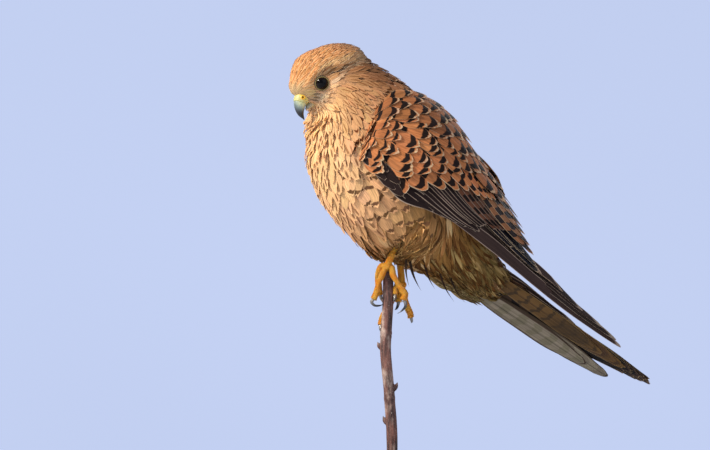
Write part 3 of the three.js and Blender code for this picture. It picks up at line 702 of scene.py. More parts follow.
def trunkGaps(t, angle, spot):
    flank = flankShare(t, angle)
    front = ease(angle, 70, 100)
    soft = ease(t, 0.46, 0.6) * front
    across = (1.8 + 1.3 * ease(t, 0.04, 0.24)) * front + (2.0 + 3.4 * ease(t, 0.08, 0.3)) * (1 - front)
    down = (3.6 + 1.9 * ease(t, 0.04, 0.24)) * front + (3.8 + 2.8 * ease(t, 0.08, 0.3)) * (1 - front)
    across = across * (1 - soft) + 1.9 * soft
    down = down * (1 - soft) + 4.4 * soft
    return across + (6.4 - across) * flank, down + (8.0 - down) * flank


def bareFace(t, angle, spot):  # no feathers on the bill and round the eyes
    local = toHead(spot)
    clear = np.hypot(np.abs(local[:, 0]) - 0.2, local[:, 2] + 0.8) > 5.7
    keep = (local[:, 1] < 10.2) & ((local[:, 1] < 7.5) | clear) | (local[:, 2] > 6)
    for sign in (1, -1):
        keep &= np.linalg.norm(spot - eyeCentre(sign), axis=1) > eye["radius"] + 0.75
    return keep


everyPlace = [places("head", skullPoint, -1, 110, 150, skullGaps, bareFace)]
for sign in (1, -1):
    everyPlace.append(places("head", lambda t, a: browPoint(sign, t, a), 1, 40, 22, evenGaps(1.15, 2.3), bareFace))
    everyPlace.append(places("thigh", lambda t, a: thighPoint(sign, t, a), 1, 50, 70, evenGaps(2.3, 4.4)))
everyPlace.append(places("trunk", trunkPoint, 1, 190, 220, trunkGaps, lambda t, a, p: t < 0.94))
possible = {k: np.concatenate([p[k] for p in everyPlace]) for k in everyPlace[0]}
finder = finderOf(possible["foot"])
alive = np.ones(len(possible["t"]), bool)
chosen = []
partNames = ("head", "thigh", "trunk")
for i in np.concatenate([rng.permutation(np.flatnonzero(possible["part"] == part)) for part in partNames]):
    if not alive[i]:
        continue
    chosen.append(i)
    down, across = possible["down"][i], possible["across"][i]
    near = np.array([j for _, j, _ in finder.find_range(possible["foot"][i], down)])
    offset = possible["foot"][near] - possible["foot"][i]
    side = np.cross(possible["out"][i], possible["run"][i])
    alive[near[((offset @ possible["run"][i]) / down) ** 2 + ((offset @ side) / across) ** 2 < 1]] = False
roots = drop(possible, np.array(chosen))

# a smooth lie of the coat across the joins
finder = finderOf(roots["foot"])
for _ in range(2):
    mixed = np.array([roots["run"][[j for _, j, _ in finder.find_n(p, 14)]].mean(0) for p in roots["foot"]])
    roots["run"] = onSurface(mixed, roots["out"])
hang = (0.45 * ease(roots["t"], 0.45, 0.62) * ease(roots["angle"], 80, 120) * (roots["part"] == "trunk"))[:, None]
roots["run"] = onSurface(roots["run"] - hang * [0, 0, 1.0], roots["out"])  # the belly's long feathers hang a little
print("roots:", {k: int((roots["part"] == k).sum()) for k in partNames})


def clearLeg(r, length):  # feathers that would lie over the left leg end beside it
    low, high = leg["span"]
    free = length.copy()
    for share in np.linspace(1, 0, 16):
        spot = r["foot"] + r["run"] * (length * share)[:, None]
        over = (np.abs(fromLeg(spot, "right", "off")) < leg["clear"]) & (spot[:, 2] < high) & (spot[:, 2] > low)
        over &= spot[:, :2] @ leg["front"] > 2
        free = np.where(over, np.minimum(free, length * share), free)
    return np.maximum(free, 0.9)


def clearEye(r, length, sign):  # feathers in front of an eye end at its lid
    toEye = eyeCentre(sign) - r["foot"]
    ahead = (toEye * r["run"]).sum(1)
    off2 = (toEye ** 2).sum(1) - ahead ** 2
    ball = (eye["radius"] + eye["bulge"]) ** 2
    hit = ahead - np.sqrt(np.maximum(ball - off2, 0))
    return np.where((ahead > 0) & (off2 < ball), np.minimum(length, np.maximum(hit, 0.9)), length)


def bodyVanes(r, length, width, depth, lift, grid, outline, rounding, fray, thick, marks, sway=0.11):
    n = len(r["t"])
    length = clearLeg(r, clearEye(r, clearEye(r, length, 1), -1))
    a, b, run, side = vaneSheet(n, *grid, outline, rounding, np.broadcast_to(fray, n))
    turn = rng.normal(0, sway, n)
    each = lambda x: x[:, None, None]  # one value for each feather, spread over its sheet
    cross = np.cross(r["out"], r["run"])
    d = unit(r["run"] * np.cos(turn)[:, None] + cross * np.sin(turn)[:, None])
    cross = np.cross(r["out"], d)
    spot = each(r["foot"]) + each(d) * (run * each(length))[..., None] \
        + each(cross) * (side * each(width / 2))[..., None]
    roll = each(rng.normal(0, 0.2, n)) * (each(width) / 6)
    h = each(depth) * (0.1 + 0.9 * b ** 0.85) + each(lift) * b ** 2 \
        + roll * a * b - 0.05 * each(width) * a ** 2 * np.minimum(b * 2, 1)
    points, normals = drape(spot, h)
    return vaneGroup(points, normals, a, b, thick, r["chart"], dict(marks, seed=rng.uniform(0, 90, n)))


# trunk plumage
bodyTones = {
    "throat": "f2b580", "breast": "f2b985", "belly": "aa7842", "vent": "856b3c", "side": "c98c5c",
    "mantle": "bd7a4e", "ink": "40230f", "sideInk": "5f3218", "flankInk": "6f4f33", "neckInk": "a86836",
    "fringe": "d9b48c", "darkStrand": "6a4520", "golden": "e2bd85", "olive": "b3935c",
    "patches": [  # place along and round the trunk, spread of both, colour
        (0.04, 30, 0.1, 65, "4a3122"), (0.13, 10, 0.07, 50, "422a1c"), (0.06, 175, 0.09, 60, "f2c48c"),
        (0.5, 110, 0.14, 26, "b0824f"), (0.66, 150, 0.08, 40, "9c6f38"), (0.14, 112, 0.07, 22, "cf9868"),
        (0.24, 165, 0.12, 40, "f0c088"),
    ],
}
softVane = {"grid": (8, 5), "outline": (0.45, 0.95, 0.7, 0.14), "fray": 0.22, "thick": 0.12}
firmVane = {"grid": (7, 8), "outline": (0.35, 0.95, 1.0, 0.55), "fray": 0.07, "thick": 0.12}
thighTones = {"ground": "a37440", "low": "7a5528", "ink": "4a2f1a", "fringe": "d0a468"}


def trunkMarks(r):
    t, angle, n = r["t"], r["angle"], len(r["t"])
    edge = 134 - 78 * ease(t, 0.2, 0.42)
    back = 1 - ease(angle - edge, -16, 16)
    neck = 1 - ease(t + rng.normal(0, 0.02, n), 0.1, 0.19)
    flank = flankShare(t, angle) * (1 - back)
    run = lambda *names: along(np.stack([linear(bodyTones[k]) for k in names]), t)
    tone = toward(run("throat", "breast", "breast", "belly", "vent", "vent"), back,
                  run("side", "mantle", "mantle", "mantle", "mantle"))
    tone = blended(t, angle, tone, bodyTones["patches"])
    arrow = flank > 0.45
    onBack = (back > 0.5) & (neck < 0.5)
    barred = onBack | arrow
    seen = rng.random(n) < 0.66
    drops = (1 - back) * (1 - flank) * ease(t, 0.0, 0.1) * (1 - 0.5 * ease(t, 0.58, 0.75)) * seen * (1 - neck)
    grown = ease(t, 0.14, 0.36)  # bars grow from the neck to the back
    count = np.where(arrow, 1.7, 1.4)
    bars = np.stack([np.where(barred, count, 0.0), np.where(barred, 0.5 - np.where(arrow, 0.84, 0.79) * count, 0),
                     np.where(arrow, 0.22, 0.26 + 0.08 * grown) * rng.uniform(0.8, 1.15, n)], 1)
    streak = np.stack([
        0.17 + 0.1 * rng.random(n) + 0.06 * neck, 0.56 - 0.34 * neck + rng.uniform(-0.06, 0.06, n),
        np.clip(0.95 * drops + (0.5 + 0.3 * back) * neck * (rng.random(n) < 0.85), 0, 1) * ~barred,
    ], 1)
    ink = toward(bodyTones["ink"], ease(angle, 80, 112), bodyTones["sideInk"])
    ink = np.where(arrow[:, None], linear(bodyTones["flankInk"]), ink)
    ink = toward(ink, neck * (1 - 0.6 * back), bodyTones["neckInk"])
    fringe = np.where(onBack[:, None], linear(bodyTones["fringe"]), tone * 1.12)
    fringe = np.where(arrow[:, None], tone * 1.15, fringe)
    rim = np.stack([np.where(barred, 0.08, 0.1), np.where(barred, 1.2, 2.6), np.where(arrow, -0.12, 0.1)], 1)
    kind = rng.random(n)[:, None]  # golden, pale and dark strands on the belly
    light = np.where(t[:, None] > 0.68, linear(bodyTones["olive"]), linear(bodyTones["golden"]))
    varied = np.where(kind < 0.28, linear(bodyTones["darkStrand"]), np.where(kind > 0.74, light, tone))
    r["tone"] = tone
    tone = toward(tone, ease(t, 0.46, 0.62) * (1 - back), varied)
    return {"ground": jitterTone(tone, 0.07), "ink": jitterTone(ink, 0.12), "fringe": jitterTone(fringe, 0.05),
            "streak": streak, "bars": bars, "rim": rim,
            "reach": np.where(arrow, 0.9, 0.7 + 0.3 * rng.random(n))}, back


def makeTrunkCoat(r):
    marks, back = trunkMarks(r)
    t, n = r["t"], len(r["t"])
    soft = ease(t, 0.45, 0.6) * (1 - back)
    length = r["down"] * 2.5 + 1 + 9 * soft * rng.uniform(0.6, 1.2, n) * (1 - 0.6 * ease(t, 0.72, 0.9))
    width = r["across"] * (1.72 - 0.32 * soft)
    depth = trunkDepth(t, np.radians(r["angle"]))
    throat = ease(r["angle"], 130, 160) * (1 - ease(t, 0.1, 0.24))
    lift = rng.normal(0, 0.25, n) + 1.4 * soft * rng.random(n) + (1.2 + 2.2 * (1 - ease(t, 0.03, 0.07))) * throat
    groups = []
    for pick, vane in ((soft <= 0.5, firmVane), (soft > 0.5, softVane)):
        if pick.any():
            groups.append(bodyVanes(drop(r, pick), length[pick], width[pick], depth[pick], lift[pick],
                                    rounding=0.14, marks=drop(marks, pick), **vane))
    return groups


def makeThighCoat(r):
    n = len(r["t"])
    r["tone"] = blended(r["t"], r["angle"], wide(n, *linear(thighTones["ground"])),
                        [(1.0, 90, 0.4, 200, thighTones["low"])])
    marks = {"ground": jitterTone(r["tone"], 0.12), "ink": wide(n, *linear(thighTones["ink"])),
             "fringe": jitterTone(wide(n, *linear(thighTones["fringe"])), 0.1), "reach": np.ones(n),
             "streak": np.stack([0.3 + 0 * r["t"], 0.3 + 0 * r["t"], 0.6 * (rng.random(n) < 0.4)], 1),
             "bars": wide(n, 0, 0, 0.3), "rim": wide(n, 0.14, 3, 0)}
    length = 20 - 3 * r["t"] + rng.normal(0, 2, n)
    return [bodyVanes(r, length, np.full(n, 3.0), np.full(n, 2.6), rng.normal(0.8, 0.8, n), rounding=0.2,
                      marks=marks, **softVane)]


# head plumage: zones drawn on the side of the head, forward and up from its centre
headZones = [  # line, half width, colour, strength
    ([(-40, 2), (-36, -8), (-30, -16)], 9, "66462f", 0.95),
    ([(-13, -0.8), (-22, -3), (-30, -5)], 5.5, "8f6644", 0.75),
    ([(-22, 14), (-32, 6)], 6, "a87450", 0.8),
    ([(4, -14), (-12, -16), (-26, -20)], 7, "efc897", 0.9),
    ([(0.5, 5.6), (-6, 7.8), (-13.7, 5.0), (-19, 2)], 1.9, "e8bd84", 0.9),
    ([(-6.8, -5.4), (-10, -5.6)], 2.8, "dccbad", 0.95),
    ([(5.1, -5.6), (8, -2.6)], 2.6, "c6b296", 0.9),
    ([(1, -9), (8, -8)], 1.5, "8a6c54", 0.5),
    ([(7.5, 3), (9.5, 1)], 2.4, "ab9668", 0.85),
    ([(13, 8), (11, 6)], 2.4, "cbb184", 0.8),
    # near black line over and behind the eye, under the pale brow: painted shadow of the brow ridge
    ([(1.6, 3.4), (-4.3, 4.6), (-8.4, 1.2), (-13, -0.8), (-16.6, -1.6)], 1.8, "35231a", 0.95),
    ([(2.5, 0.5), (5.8, 1.1), (9.5, -3.4)], 0.9, "4a3a24", 0.8),
]
headTones = {"crown": "de9c62", "cheek": "f2cb9b", "crownInk": "a55e2e", "cheekInk": "7b5838",
             "crownFringe": "f6cf9f", "cheekFringe": "e8d8b8"}


def headTone(local):
    flat = local[:, 1:]
    tone = toward(headTones["crown"], ease(-flat[:, 1] - 0.25 * flat[:, 0], 2, 10), headTones["cheek"])
    for line, half, colour, strength in headZones:
        line = np.array(line, float)
        best = np.full(len(flat), 1e9)
        for a, b in zip(line[:-1], line[1:]):
            s = np.clip(((flat - a) @ (b - a)) / ((b - a) @ (b - a)), 0, 1)[:, None]
            best = np.minimum(best, np.linalg.norm(flat - a - s * (b - a), axis=1))
        side = ease(np.abs(local[:, 0]), 1, 5) if half < 4 and line[0][0] < 12 else 1
        tone = toward(tone, strength * np.exp(-(best / half) ** 2) * side, colour)
    return tone


def makeHeadCoat(r):
    local = toHead(r["foot"])
    n = len(r["t"])
    tone = headTone(local)
    r["tone"] = tone
    top = ease(local[:, 2] + 0.15 * local[:, 1], 0, 9)
    face = ease(local[:, 1], -8, 6)
    streak = np.stack([0.3 + 0.1 * rng.random(n), 0.2 + 0 * top, np.clip(0.85 * top + 0.4 * (1 - top), 0, 1)], 1)
    top = top[:, None]
    crownInk, cheekInk, crownFringe, cheekFringe = (
        linear(headTones[k]) for k in ("crownInk", "cheekInk", "crownFringe", "cheekFringe"))
    ink = tone * 0.35 + crownInk * 0.5 * top + cheekInk * 0.35 * (1 - top)
    fringe = tone * 0.5 + crownFringe * 0.5 * top + (tone * 0.3 + cheekFringe * 0.25) * (1 - top)
    marks = {"ground": jitterTone(tone, 0.09), "ink": jitterTone(ink, 0.1), "fringe": jitterTone(fringe, 0.06),
             "streak": streak, "bars": wide(n, 0, 0, 0.3), "rim": wide(n, 0.32, 2.4, 0), "reach": np.ones(n)}
    chin = ease(-local[:, 2], 5, 10) * ease(local[:, 1], -14, -3)
    bristle = ease(local[:, 1], 10.5, 12.5)
    length = (r["down"] * 2.6 + 1.6 + 4 * chin) * (1 - 0.35 * bristle)
    lift = rng.normal(0.1, 0.1, n) + 0.15 * (1 - face) + 3.4 * chin
    return [bodyVanes(r, length, r["across"] * (1.6 - 0.5 * bristle), 0.6 - 0.2 * face, lift, (6, 4),
                      (0.4, 0.95, 0.85, 0.25), 0.2, 0.1, 0.06, marks, 0.09)]


toned = []  # the places and ground colours of every coat
for part, make, slot, pieces in (("trunk", makeTrunkCoat, "plumage_buff", 3),
                                 ("thigh", makeThighCoat, "plumage_buff", 1),
                                 ("head", makeHeadCoat, "plumage_head", 1)):
    r = drop(roots, roots["part"] == part)
    for i, pick in enumerate(np.array_split(np.argsort(r["t"], kind="stable"), pieces)):
        some = drop(r, pick)
        vanePiece(f"coat_{part}_{i}", make(some), softFeather, slot)
        toned.append((some["foot"], some["tone"]))


def tintSkin():  # the skin carries the coat's own ground, read from the nearest roots, darkened as painted shade between the feathers
    spots, grounds = (np.vstack(k) for k in zip(*toned))
    finder = finderOf(spots)
    tint = np.array([grounds[[j for _, j, _ in finder.find_n(p, 3)]].mean(0) for p in skinPoints])
    onHeadShare = ease(toHead(skinPoints)[:, 1], -30, -20)[:, None]
    # half the coat's ground on the body and nine tenths on the head: painted shade in the gaps between feathers
    paint(skin.data, tint * (0.5 + 0.4 * onHeadShare))


tintSkin()


# wings
wing = {
    "lower": np.array([[29, 37, 46, 50, 45, 38, 28, 21, 17], [-43, -37.5, -19, 1.8, 30.3, 61.5, 100.5, 134, 177],
                       [212, 206, 187.8, 177.6, 163.3, 148.8, 130, 114, 93]], float).T,
    "middle": np.array([[32, 43, 52, 52, 45, 33, 22.5, 16.5, 14.5], [-41, -28, -3, 19, 43, 73, 105.5, 139, 181],
                        [223.5, 231, 225, 213, 194, 172, 149, 124.5, 99.5]], float).T,
    "upper": np.array([[32.4, 38.5, 28, 15, 7, 4, 4, 6, 11], [-39.9, -19.5, 10.5, 40, 65.5, 91.5, 113, 147.5, 185],
                       [234.8, 250.5, 252.5, 243, 219.5, 193, 167.5, 133, 105]], float).T,
    "length": 240.0,  # from the wrist to the tip
    "across": [26, 52, 78, 90, 84, 68, 49, 29, 17],  # from the lower edge to the back, at even steps along
}
greaterLine = [0.275, 0.385, 0.468, 0.545, 0.58, 0.6, 0.6]  # where greater coverts and scapulars end
coverts = {"first": 0.085, "step": 0.039, "wide": 8.2, "long": 0.092, "rows": 13, "sink": 6}
wingTones = {
    "rufous": "bf7748", "scapular": "a3653d", "dark": "211612", "secondary": "2b1f1c", "primary": "382a24",
    "tertial": "96613c", "fringe": "c9a580", "paleFringe": "d9bd98", "navy": "17141b", "edge": "a8917c",
    "mottled": "6b4430", "deep": "1d1512", "down": "7d5234", "downInk": "352721",
}
quillOutline = (0.7, 1, 0.98, 0.6)
# rows of large feathers: tips along and across the wing, how much higher the roots lie, length and half width,
# heights from root to tip, tilt, rows and columns of the sheet, bars, tones
wingRows = {
    "greater": {
        "v": [0.02, 0.095, 0.175, 0.255, 0.335, 0.41, 0.48, 0.545, 0.61], "root": 0.03, "size": (0.165, 4.5),
        "heights": [-2.6, -2.0, -1.3, -0.75], "tilt": 0.8, "grid": (14, 10),
        "bars": (np.array([2.9, 2.9, 2.8, 2.9, 3.1, 3.4, 3.6, 3.8, 4.0]), 0.17, 0.44 - 0.01 * np.arange(9),
                 0.02, 0.09, 5.5, 0.84),
        "tones": ("rufous", "dark", "paleFringe"),
        "shape": {"outline": (0.6, 1.0, 1.0, 0.72), "rounding": 3.6, "fray": 0.015, "lean": 1.25},
    },
    "lowerEdge": {  # narrow feathers from the wrist to the greater coverts
        "tip": [0.12, 0.165, 0.205, 0.24, 0.275, 0.15, 0.2, 0.245],
        "v": [0.01, 0.0, -0.01, -0.02, -0.02, 0.06, 0.045, 0.03], "root": 0.02, "size": (0.09, 2.6),
        "heights": [-2.4, -1.4, -0.8, -0.5], "tilt": 0.3, "grid": (10, 6),
        "bars": (0, 0, 0.3, 0, 0.1, 6), "tones": ("secondary", "dark", "edge"), "vary": 0.15,
        "shape": {"rounding": 2.5, "fray": 0.03, "bow": 0.3},
    },
    "primaryCoverts": {
        "tip": [0.40, 0.44, 0.475, 0.505, 0.53, 0.548], "v": [-0.01, 0.005, 0.025, 0.05, 0.075, 0.1],
        "root": 0, "size": (0.2, 4.0), "heights": [-3.2, -2.4, -1.6, -1.1], "tilt": 2.2, "grid": (14, 8),
        "bars": (0, 0, 0.3, 0, 0.13, 5), "tones": ("secondary", "dark", "edge"),
        "shape": {"rounding": 4, "fray": 0.015, "bow": 0.02, "lean": 1.3},
    },
    "outerSecondaries": {  # dark with thin pale edges, each a little longer and higher than the one below it
        "tip": [0.525, 0.54, 0.55, 0.556, 0.562, 0.57], "v": [0.13, 0.145, 0.165, 0.19, 0.22, 0.255],
        "root": 0.03, "size": (0.2, 5.2), "heights": [-3.0, -2.5, -1.7, -1.2], "tilt": 2.4, "grid": (14, 8),
        "bars": (0, 0, 0.3, 0, 0.11, 5), "tones": ("secondary", "dark", "edge"),
        "shape": {"outline": (0.7, 1, 0.98, 0.62), "rounding": 4, "fray": 0.015, "bow": 0.02, "lean": 1.4},
    },
    "middleSecondaries": {
        "tip": [0.595, 0.61, 0.625, 0.63], "v": [0.28, 0.33, 0.385, 0.43],
        "root": 0.03, "size": (0.2, 6.0), "heights": [-2.9, -2.4, -1.7, -1.3], "tilt": 1.8, "grid": (14, 8),
        "bars": (4.3, 0.12, 0.5, 0.05, 0.09, 6, 0.8), "tones": ("mottled", "dark", "edge"),
        "shape": {"outline": quillOutline, "rounding": 5, "fray": 0.03, "bow": 0.05, "lean": 1.3},
    },
    "innerSecondaries": {  # near black, the longest of them with a pale tip over the primaries
        "tip": [0.66, 0.68, 0.70, 0.752, 0.745], "v": [0.3, 0.36, 0.41, 0.345, 0.42],
        "root": 0.03, "size": (0.27, 6.6), "heights": [-3.6, -3.3, -2.8, -2.4], "tilt": 1.4, "grid": (18, 10),
        "bars": (0, 0, 0.3, 0, 0.08, 7), "tones": ("navy", "dark", "paleFringe"),
        "shape": {"outline": quillOutline, "rounding": 6, "fray": 0.01, "bow": 0.1, "lean": 1.3},
    },
    "tertials": {  # rufous with broad dark bars
        "tip": [0.722, 0.715, 0.7, 0.685, 0.668, 0.645], "v": [0.5, 0.59, 0.69, 0.79, 0.885, 0.975],
        "root": 0, "size": (0.22, 7.5), "heights": [-2.4, -1.6, -0.7, -0.2], "tilt": 1.2, "grid": (16, 10),
        "bars": (4.4, 0.09, 0.5, 0.05, 0.06, 7), "tones": ("tertial", "dark", "fringe"),
        "shape": {"outline": quillOutline, "rounding": 7, "fray": 0.06, "lean": 1.1},
    },
}
primaries = {  # from the innermost, short and on top, to the longest along the lower edge
    "tip": [0.70, 0.765, 0.833, 0.895, 0.942, 0.976, 0.996], "v": [0.34, 0.36, 0.41, 0.40, 0.37, 0.27, 0.12],
    "root": [0.3, 0.25, 0.2, 0.155, 0.11, 0.065, 0.02], "from": 0.45, "half": 2.7, "top": -0.5, "layer": 0.45,
    "shape": {"outline": (0.7, 1.0, 1.0, 0.92, 0.5), "rounding": 9, "fray": 0.006, "bow": 0.2, "lean": 3.4},
}


def wingBare(s, v):
    low, mid, high = (along(wing[k], s) for k in ("lower", "middle", "upper"))
    v = v[..., None]
    return low * (1 - v) ** 2 + (2 * mid - 0.5 * low - 0.5 * high) * 2 * v * (1 - v) + high * v ** 2


def wingPoint(s, v, h):
    e = 0.02
    v = np.clip(v, -0.08, 1.08)
    down = wingBare(np.clip(s + e, 0, 1), v) - wingBare(np.clip(s - e, 0, 1), v)
    over = wingBare(s, v + e) - wingBare(s, v - e)
    out = -unit(np.cross(over, down))
    h = h - coverts["sink"] * (1 - ease(s, -0.02, 0.12))  # feathers dip under the breast at the wrist
    return wingBare(s, v) + out * h[..., None], out


def tier(tipS, tipV, length, half, heights, tilt, grid, marks, rootV=None, outline=(0.5, 0.98, 1.0, 0.5),
         rounding=6.0, fray=0.05, bow=0.5, lean=1.0, sway=0.0, thick=0.3):
    # feathers on the wing: tips and lengths in shares of its surface, half widths in millimetres. lean is how many
    # times wider the vane above the shaft is than the one below it.
    tipS, tipV = np.asarray(tipS, float), np.asarray(tipV, float)
    n = len(tipS)
    length, half, tilt, lean = (np.broadcast_to(x, n)[:, None, None] for x in (length, half, tilt, lean))
    rootV = tipV if rootV is None else np.asarray(rootV, float)
    a, b, run, side = vaneSheet(n, *grid, outline, 0.0, np.full(n, fray))
    s = tipS[:, None, None] - length * (1 - run) - rounding / wing["length"] * a ** 2 * b ** 3
    turned = rng.normal(0, sway, n)[:, None, None] * b if sway else 0.0
    off = (side * np.where(a > 0, lean, 1.0) + turned) * half
    v = rootV[:, None, None] * (1 - run) + tipV[:, None, None] * run + off / along(wing["across"], s)
    h = along(heights, b) - tilt * (a + 1) / 2 - bow * a ** 2 + rng.normal(0, 0.03, (n, 1, 1))
    points, normals = wingPoint(s, v, h)
    chart = np.stack([np.clip(tipS - length[:, 0, 0], 0, 1) * 0.9 + 0.05, np.clip(rootV, 0, 1) * 0.9 + 0.05], 1)
    chart = chart + rng.uniform(-0.01, 0.01, chart.shape)
    marks = dict(marks, seed=rng.uniform(0, 90, n), lean=lean[:, 0, 0] * np.ones(n))
    return vaneGroup(points, normals, a, b, thick, chart, marks)


def wingTone(n, names, vary=0.08):
    return tones(n, *(wingTones[k] for k in names), vary)


def rowTier(row):  # one of wingRows
    v = np.array(row["v"])
    marks = {**barMarks(len(v), *row["bars"]), **wingTone(len(v), row["tones"], row.get("vary", 0.08))}
    return tier(row["tip"], v, *row["size"], row["heights"], row["tilt"], row["grid"], marks, v + row["root"],
                **row["shape"])


def wingPiece(name, groups, sign, finish, slot, node):
    for g in groups:
        g["points"] = g["points"] * [sign, 1, 1]
        g["normals"] = g["normals"] * [sign, 1, 1]
    vanePiece(name, groups, finish, slot, [node])


def makeWingCoat(side, sign):
    groups = []
    # lesser and median coverts, in rows that step forward from the greater coverts
    for k in range(coverts["rows"]):
        off = coverts["first"] + coverts["step"] * k
        middle = float(along(greaterLine, 0.3) - off)
        count = max(int(round(0.66 * float(along(wing["across"], middle)) / coverts["wide"])), 3)
        v = (np.arange(count) + (0.55 if k % 2 else 0.05)) / count * 0.68
        v = v + rng.uniform(-0.012, 0.012, count)
        tip = along(greaterLine, v) - off * (1 - 0.1 * v) + rng.uniform(-0.008, 0.008, count)
        v, tip = v[tip > 0.03], tip[tip > 0.03]
        n = len(v)
        if not n:
            continue
        near = ease(tip, 0.06, 0.3)  # smaller and plainer toward the wrist
        small = rng.uniform(0.92, 1.08, n) * (0.72 + 0.28 * near)
        mark = barMarks(n, 1.5, 0.2 + 0.02 * rng.random(n), (0.17 + 0.12 * near) * rng.uniform(0.8, 1.15, n),
                        rng.uniform(-0.06, 0.12, n), 0.032, 0.42, 0.85 + 0.3 * rng.random(n))
        mark.update(wingTone(n, ("rufous", "dark", "fringe"), 0.1))
        groups.append(tier(tip, v, coverts["long"] * small, coverts["wide"] * 0.6 * small, [-1.7, -1.0, -0.2, 0.55],
                           0.4, (8, 8), mark, outline=(0.5, 0.95, 1.0, 0.62), rounding=3.2, fray=0.045, sway=0.2,
                           thick=0.25))
    # scapulars over the wing's upper edge, large, in four lines from the shoulder back
    v, tip = [], []
    for k, line in enumerate((0.62, 0.73, 0.84, 0.95)):
        steps = np.arange(0.16 + 0.034 * (k % 2), 0.6, 0.067)
        v.append(np.full(len(steps), line) + rng.uniform(-0.015, 0.015, len(steps)))
        tip.append(steps + rng.uniform(-0.008, 0.008, len(steps)))
    v, tip = np.concatenate(v), np.concatenate(tip)
    order = np.argsort(tip)
    v, tip = v[order], tip[order]
    n = len(v)
    big = 0.7 + 0.3 * ease(tip, 0.12, 0.4)
    mark = barMarks(n, 1.9, 0.17, 0.34 * rng.uniform(0.85, 1.1, n), rng.uniform(-0.05, 0.1, n), 0.03, 0.42,
                    0.95 + 0.2 * rng.random(n))
    mark.update(wingTone(n, ("scapular", "dark", "fringe"), 0.1))
    groups.append(tier(tip, v, 0.135 * big, 6.9 * big, [-1.6, -0.4, 0.5, 1.3], 0.3, (10, 10), mark,
                       outline=(0.5, 0.95, 1.0, 0.7), rounding=4, fray=0.04, bow=0.7, sway=0.08))
    # greater coverts with two or three large spots and thin pale edges
    greater = wingRows["greater"]
    tip = along(greaterLine, greater["v"]) + rng.uniform(-0.004, 0.004, len(greater["v"]))
    groups.append(rowTier({**greater, "tip": tip}))
    # a layer of down under the rows
    grid = np.linspace(0, 1, 25)[None, :, None]
    cross = np.linspace(0, 1, 17)[None, None, :]
    s, v = np.broadcast_arrays(grid * (along(greaterLine, cross) - 0.05), cross)
    points, normals = wingPoint(s, v, np.full(s.shape, -2.9))
    b, a = np.broadcast_arrays(grid, cross * 2 - 1)
    mark = {**barMarks(1, 0, 0, 0.3, 0, 0.001, 3), **wingTone(1, ("down", "downInk", "down")), "seed": np.zeros(1)}
    groups.append(vaneGroup(points, normals, a, b, 5.5, np.array([[0.5, 0.5]]), mark))
    groups += [rowTier(wingRows[k]) for k in ("lowerEdge", "primaryCoverts")]
    wingPiece(f"wing_{side}_coat", groups, sign, wingFeather, "plumage_rufous", f"wing_{side}_coverts")


def makeWingQuills(side, sign):
    names = ("outerSecondaries", "middleSecondaries", "innerSecondaries", "tertials")
    groups = [rowTier(wingRows[k]) for k in names]
    wingPiece(f"wing_{side}_inner_quills", groups, sign, quillFeather, "flight_dark", f"wing_{side}_secondaries")
    groups = []
    for k, (tip, end, root) in enumerate(zip(primaries["tip"], primaries["v"], primaries["root"])):
        length = tip - primaries["from"]
        s = tip - length * (1 - np.linspace(0, 1, 8))
        v = root + (end - root) * np.linspace(0, 1, 8)
        sunk = np.maximum(1.9 * (1 - ease(s, 0.49, 0.6)), 5.4 * ease(v, 0.06, 0.2) * (1 - ease(s, 0.67, 0.83)))
        mark = {**barMarks(1, 0, 0, 0.3, 0, 0.24, 7), **wingTone(1, ("primary", "deep", "edge"), 0.1)}
        heights = primaries["top"] - primaries["layer"] * k - sunk
        groups.append(tier([tip], [end], length, primaries["half"], heights, 0.2, (22, 10), mark, [root],
                           **primaries["shape"]))
    wingPiece(f"wing_{side}_long_quills", groups, sign, quillFeather, "flight_dark", f"wing_{side}_primaries")


for side, sign in (("left", 1), ("right", -1)):
    makeWingCoat(side, sign)
    makeWingQuills(side, sign)


# tail
tail = {
    "root": (0, 62.7, 145), "droop": 26, "swing": 3, "roll": 22, "roof": 0.1, "layer": 0.6, "start": 6,
    # its twelve feathers from the right edge to the left: sides at root and tip, and length
    "feathers": [
        (-10.5, -12.6, 122), (-9.5, -11.6, 143), (-6, 0.4, 150), (-5, 0.7, 158), (-3, 1.2, 165), (-1, 2, 170),
        (1, 2.6, 171.5), (3, 3.2, 166), (5, 3.6, 160), (7, 3.9, 152), (8.5, 4.1, 143), (9.5, 4.2, 122),
    ],
    # half width, fray, bars, tones and streak: the broad pale undersides at the right edge, the left edge, the rest
    "pale": (8.2, 0.004, (8.0, 0.05, 0.5, 0.01, 0.2, 12, 0.8), ("857a66", "756a57", "4c3d2e", 0.04),
             (0.05, 0.3, 0)),
    "edge": (7.2, 0.02, (10.0, 0.05, 0.3, 0.02, 0.06, 12), ("664a24", "45311b", "8f7245", 0.06), (1.3, 0.6, 0.85)),
    "dark": (7.0, 0.03, (9.0, 0.055, 0.5, 0.02, 0.05, 12), ("3d2c20", "120d0b", "a08660", 0.06), (1.4, 0.4, 0.92)),
}
tailTurn = spin("z", tail["swing"]) @ spin("x", -tail["droop"]) @ spin("y", -tail["roll"])


def onTail(side, run, up):
    return np.stack([side, run, up], -1) @ tailTurn.T + np.array(tail["root"])


